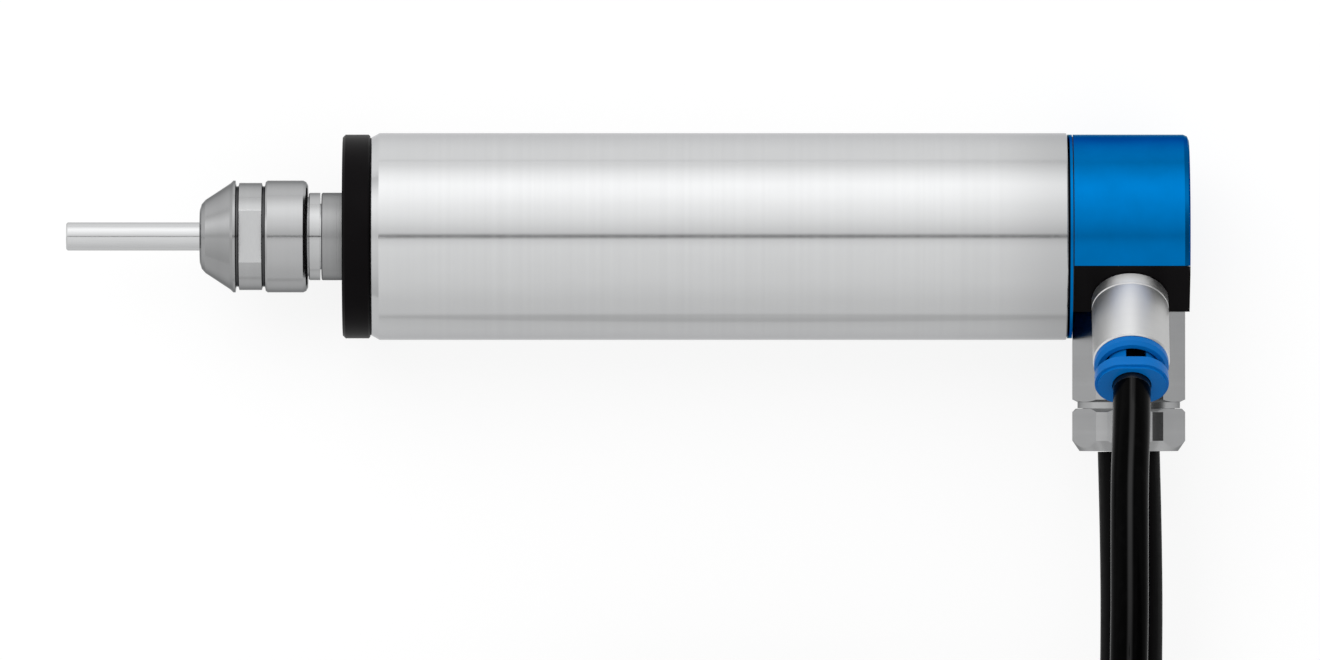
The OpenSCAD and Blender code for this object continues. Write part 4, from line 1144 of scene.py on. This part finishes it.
def strap(line, radius, angle, sizes):
    """A band round the bundle with its end laid over its start.

    The band's outline is a flat bar with bevelled edges. It follows the bundle's hull once and then a
    little further, where it steps out by its own thickness over a short ramp.
    """
    half = sizes.strap_w / 2
    loop, across = strap_line(line, radius, angle, half)
    step = length_of(loop) / (len(loop) - 1)
    extra = int(OVERLAP / step)
    path = np.concatenate([loop[:-1], loop[:extra]])
    out = np.cross(unit(np.gradient(path, axis=0)), across)
    ramp = 4
    s = np.clip((np.arange(len(path)) - (len(loop) - ramp)) / ramp, 0, 1)
    lift = sizes.strap_t * (0.5 + s * s * (3 - 2 * s))
    path = path + out * lift[:, None]
    edge = 0.35 * sizes.strap_t
    t = sizes.strap_t / 2
    outline = np.array([(-half, -t + edge), (-half + edge, -t), (half - edge, -t), (half, -t + edge),
                        (half, t - edge), (half - edge, t), (-half + edge, t), (-half, t - edge)])
    return sweep(path, np.broadcast_to(across, path.shape), out, outline)


def contact_pin(angle):
    """A pin along Y with a domed tip: circles whose radius follows almost a quarter circle there."""
    dome = np.linspace(0, 0.47 * np.pi, 7)
    places = np.concatenate([[PIN_FROM], PIN_TO - PIN_R + PIN_R * np.sin(dome)])
    radii = np.concatenate([[PIN_R], PIN_R * np.cos(dome)])
    centre = np.array(PLUG_START) + PIN_CIRCLE_R * np.array([math.cos(angle), 0, math.sin(angle)])
    centres = (centre + places[:, None] * TO_Y) * MM
    side = radii[:, None] * UP * MM
    up = radii[:, None] * TO_X * MM
    return sweep(centres, side, up, round_outline(1.0, sides=14))


# ---------------------------------------------------------------- panel and start

STEPS = (
    SPINDLE_OT_studio, SPINDLE_OT_motor_cord, SPINDLE_OT_air_hose, SPINDLE_OT_straps, SPINDLE_OT_plug,
    SPINDLE_OT_housing, SPINDLE_OT_nose, SPINDLE_OT_bearings, SPINDLE_OT_motor, SPINDLE_OT_rear_end,
    SPINDLE_OT_air_fitting, SPINDLE_OT_cord_outlet,
)
SETTINGS = (
    ("spindle_look", SpindleLook), ("spindle_sizes", SpindleSizes), ("spindle_studio", SpindleStudio),
)


class SPINDLE_PT_panel(bpy.types.Panel):
    """The spindle's settings and the steps that build its pieces"""

    bl_idname = "SPINDLE_PT_panel"
    bl_label = "High-speed spindle"
    bl_space_type = "VIEW_3D"
    bl_region_type = "UI"
    bl_category = "Spindle"

    def draw(self, context):
        for name, group in SETTINGS:
            box = self.layout.box()
            for prop in group.__annotations__:
                box.prop(getattr(context.scene, name), prop)
        for step in STEPS:
            self.layout.operator(step.bl_idname)


def register():
    for name, group in SETTINGS:
        bpy.utils.register_class(group)
        setattr(bpy.types.Scene, name, PointerProperty(type=group))
    for entry in (*STEPS, SPINDLE_PT_panel):
        bpy.utils.register_class(entry)


def unregister():
    for entry in (SPINDLE_PT_panel, *reversed(STEPS)):
        bpy.utils.unregister_class(entry)
    for name, group in reversed(SETTINGS):
        delattr(bpy.types.Scene, name)
        bpy.utils.unregister_class(group)


def main():
    register()
    for step in STEPS:
        family, name = step.bl_idname.split(".")
        getattr(getattr(bpy.ops, family), name)()


if __name__ == "__main__":
    main()
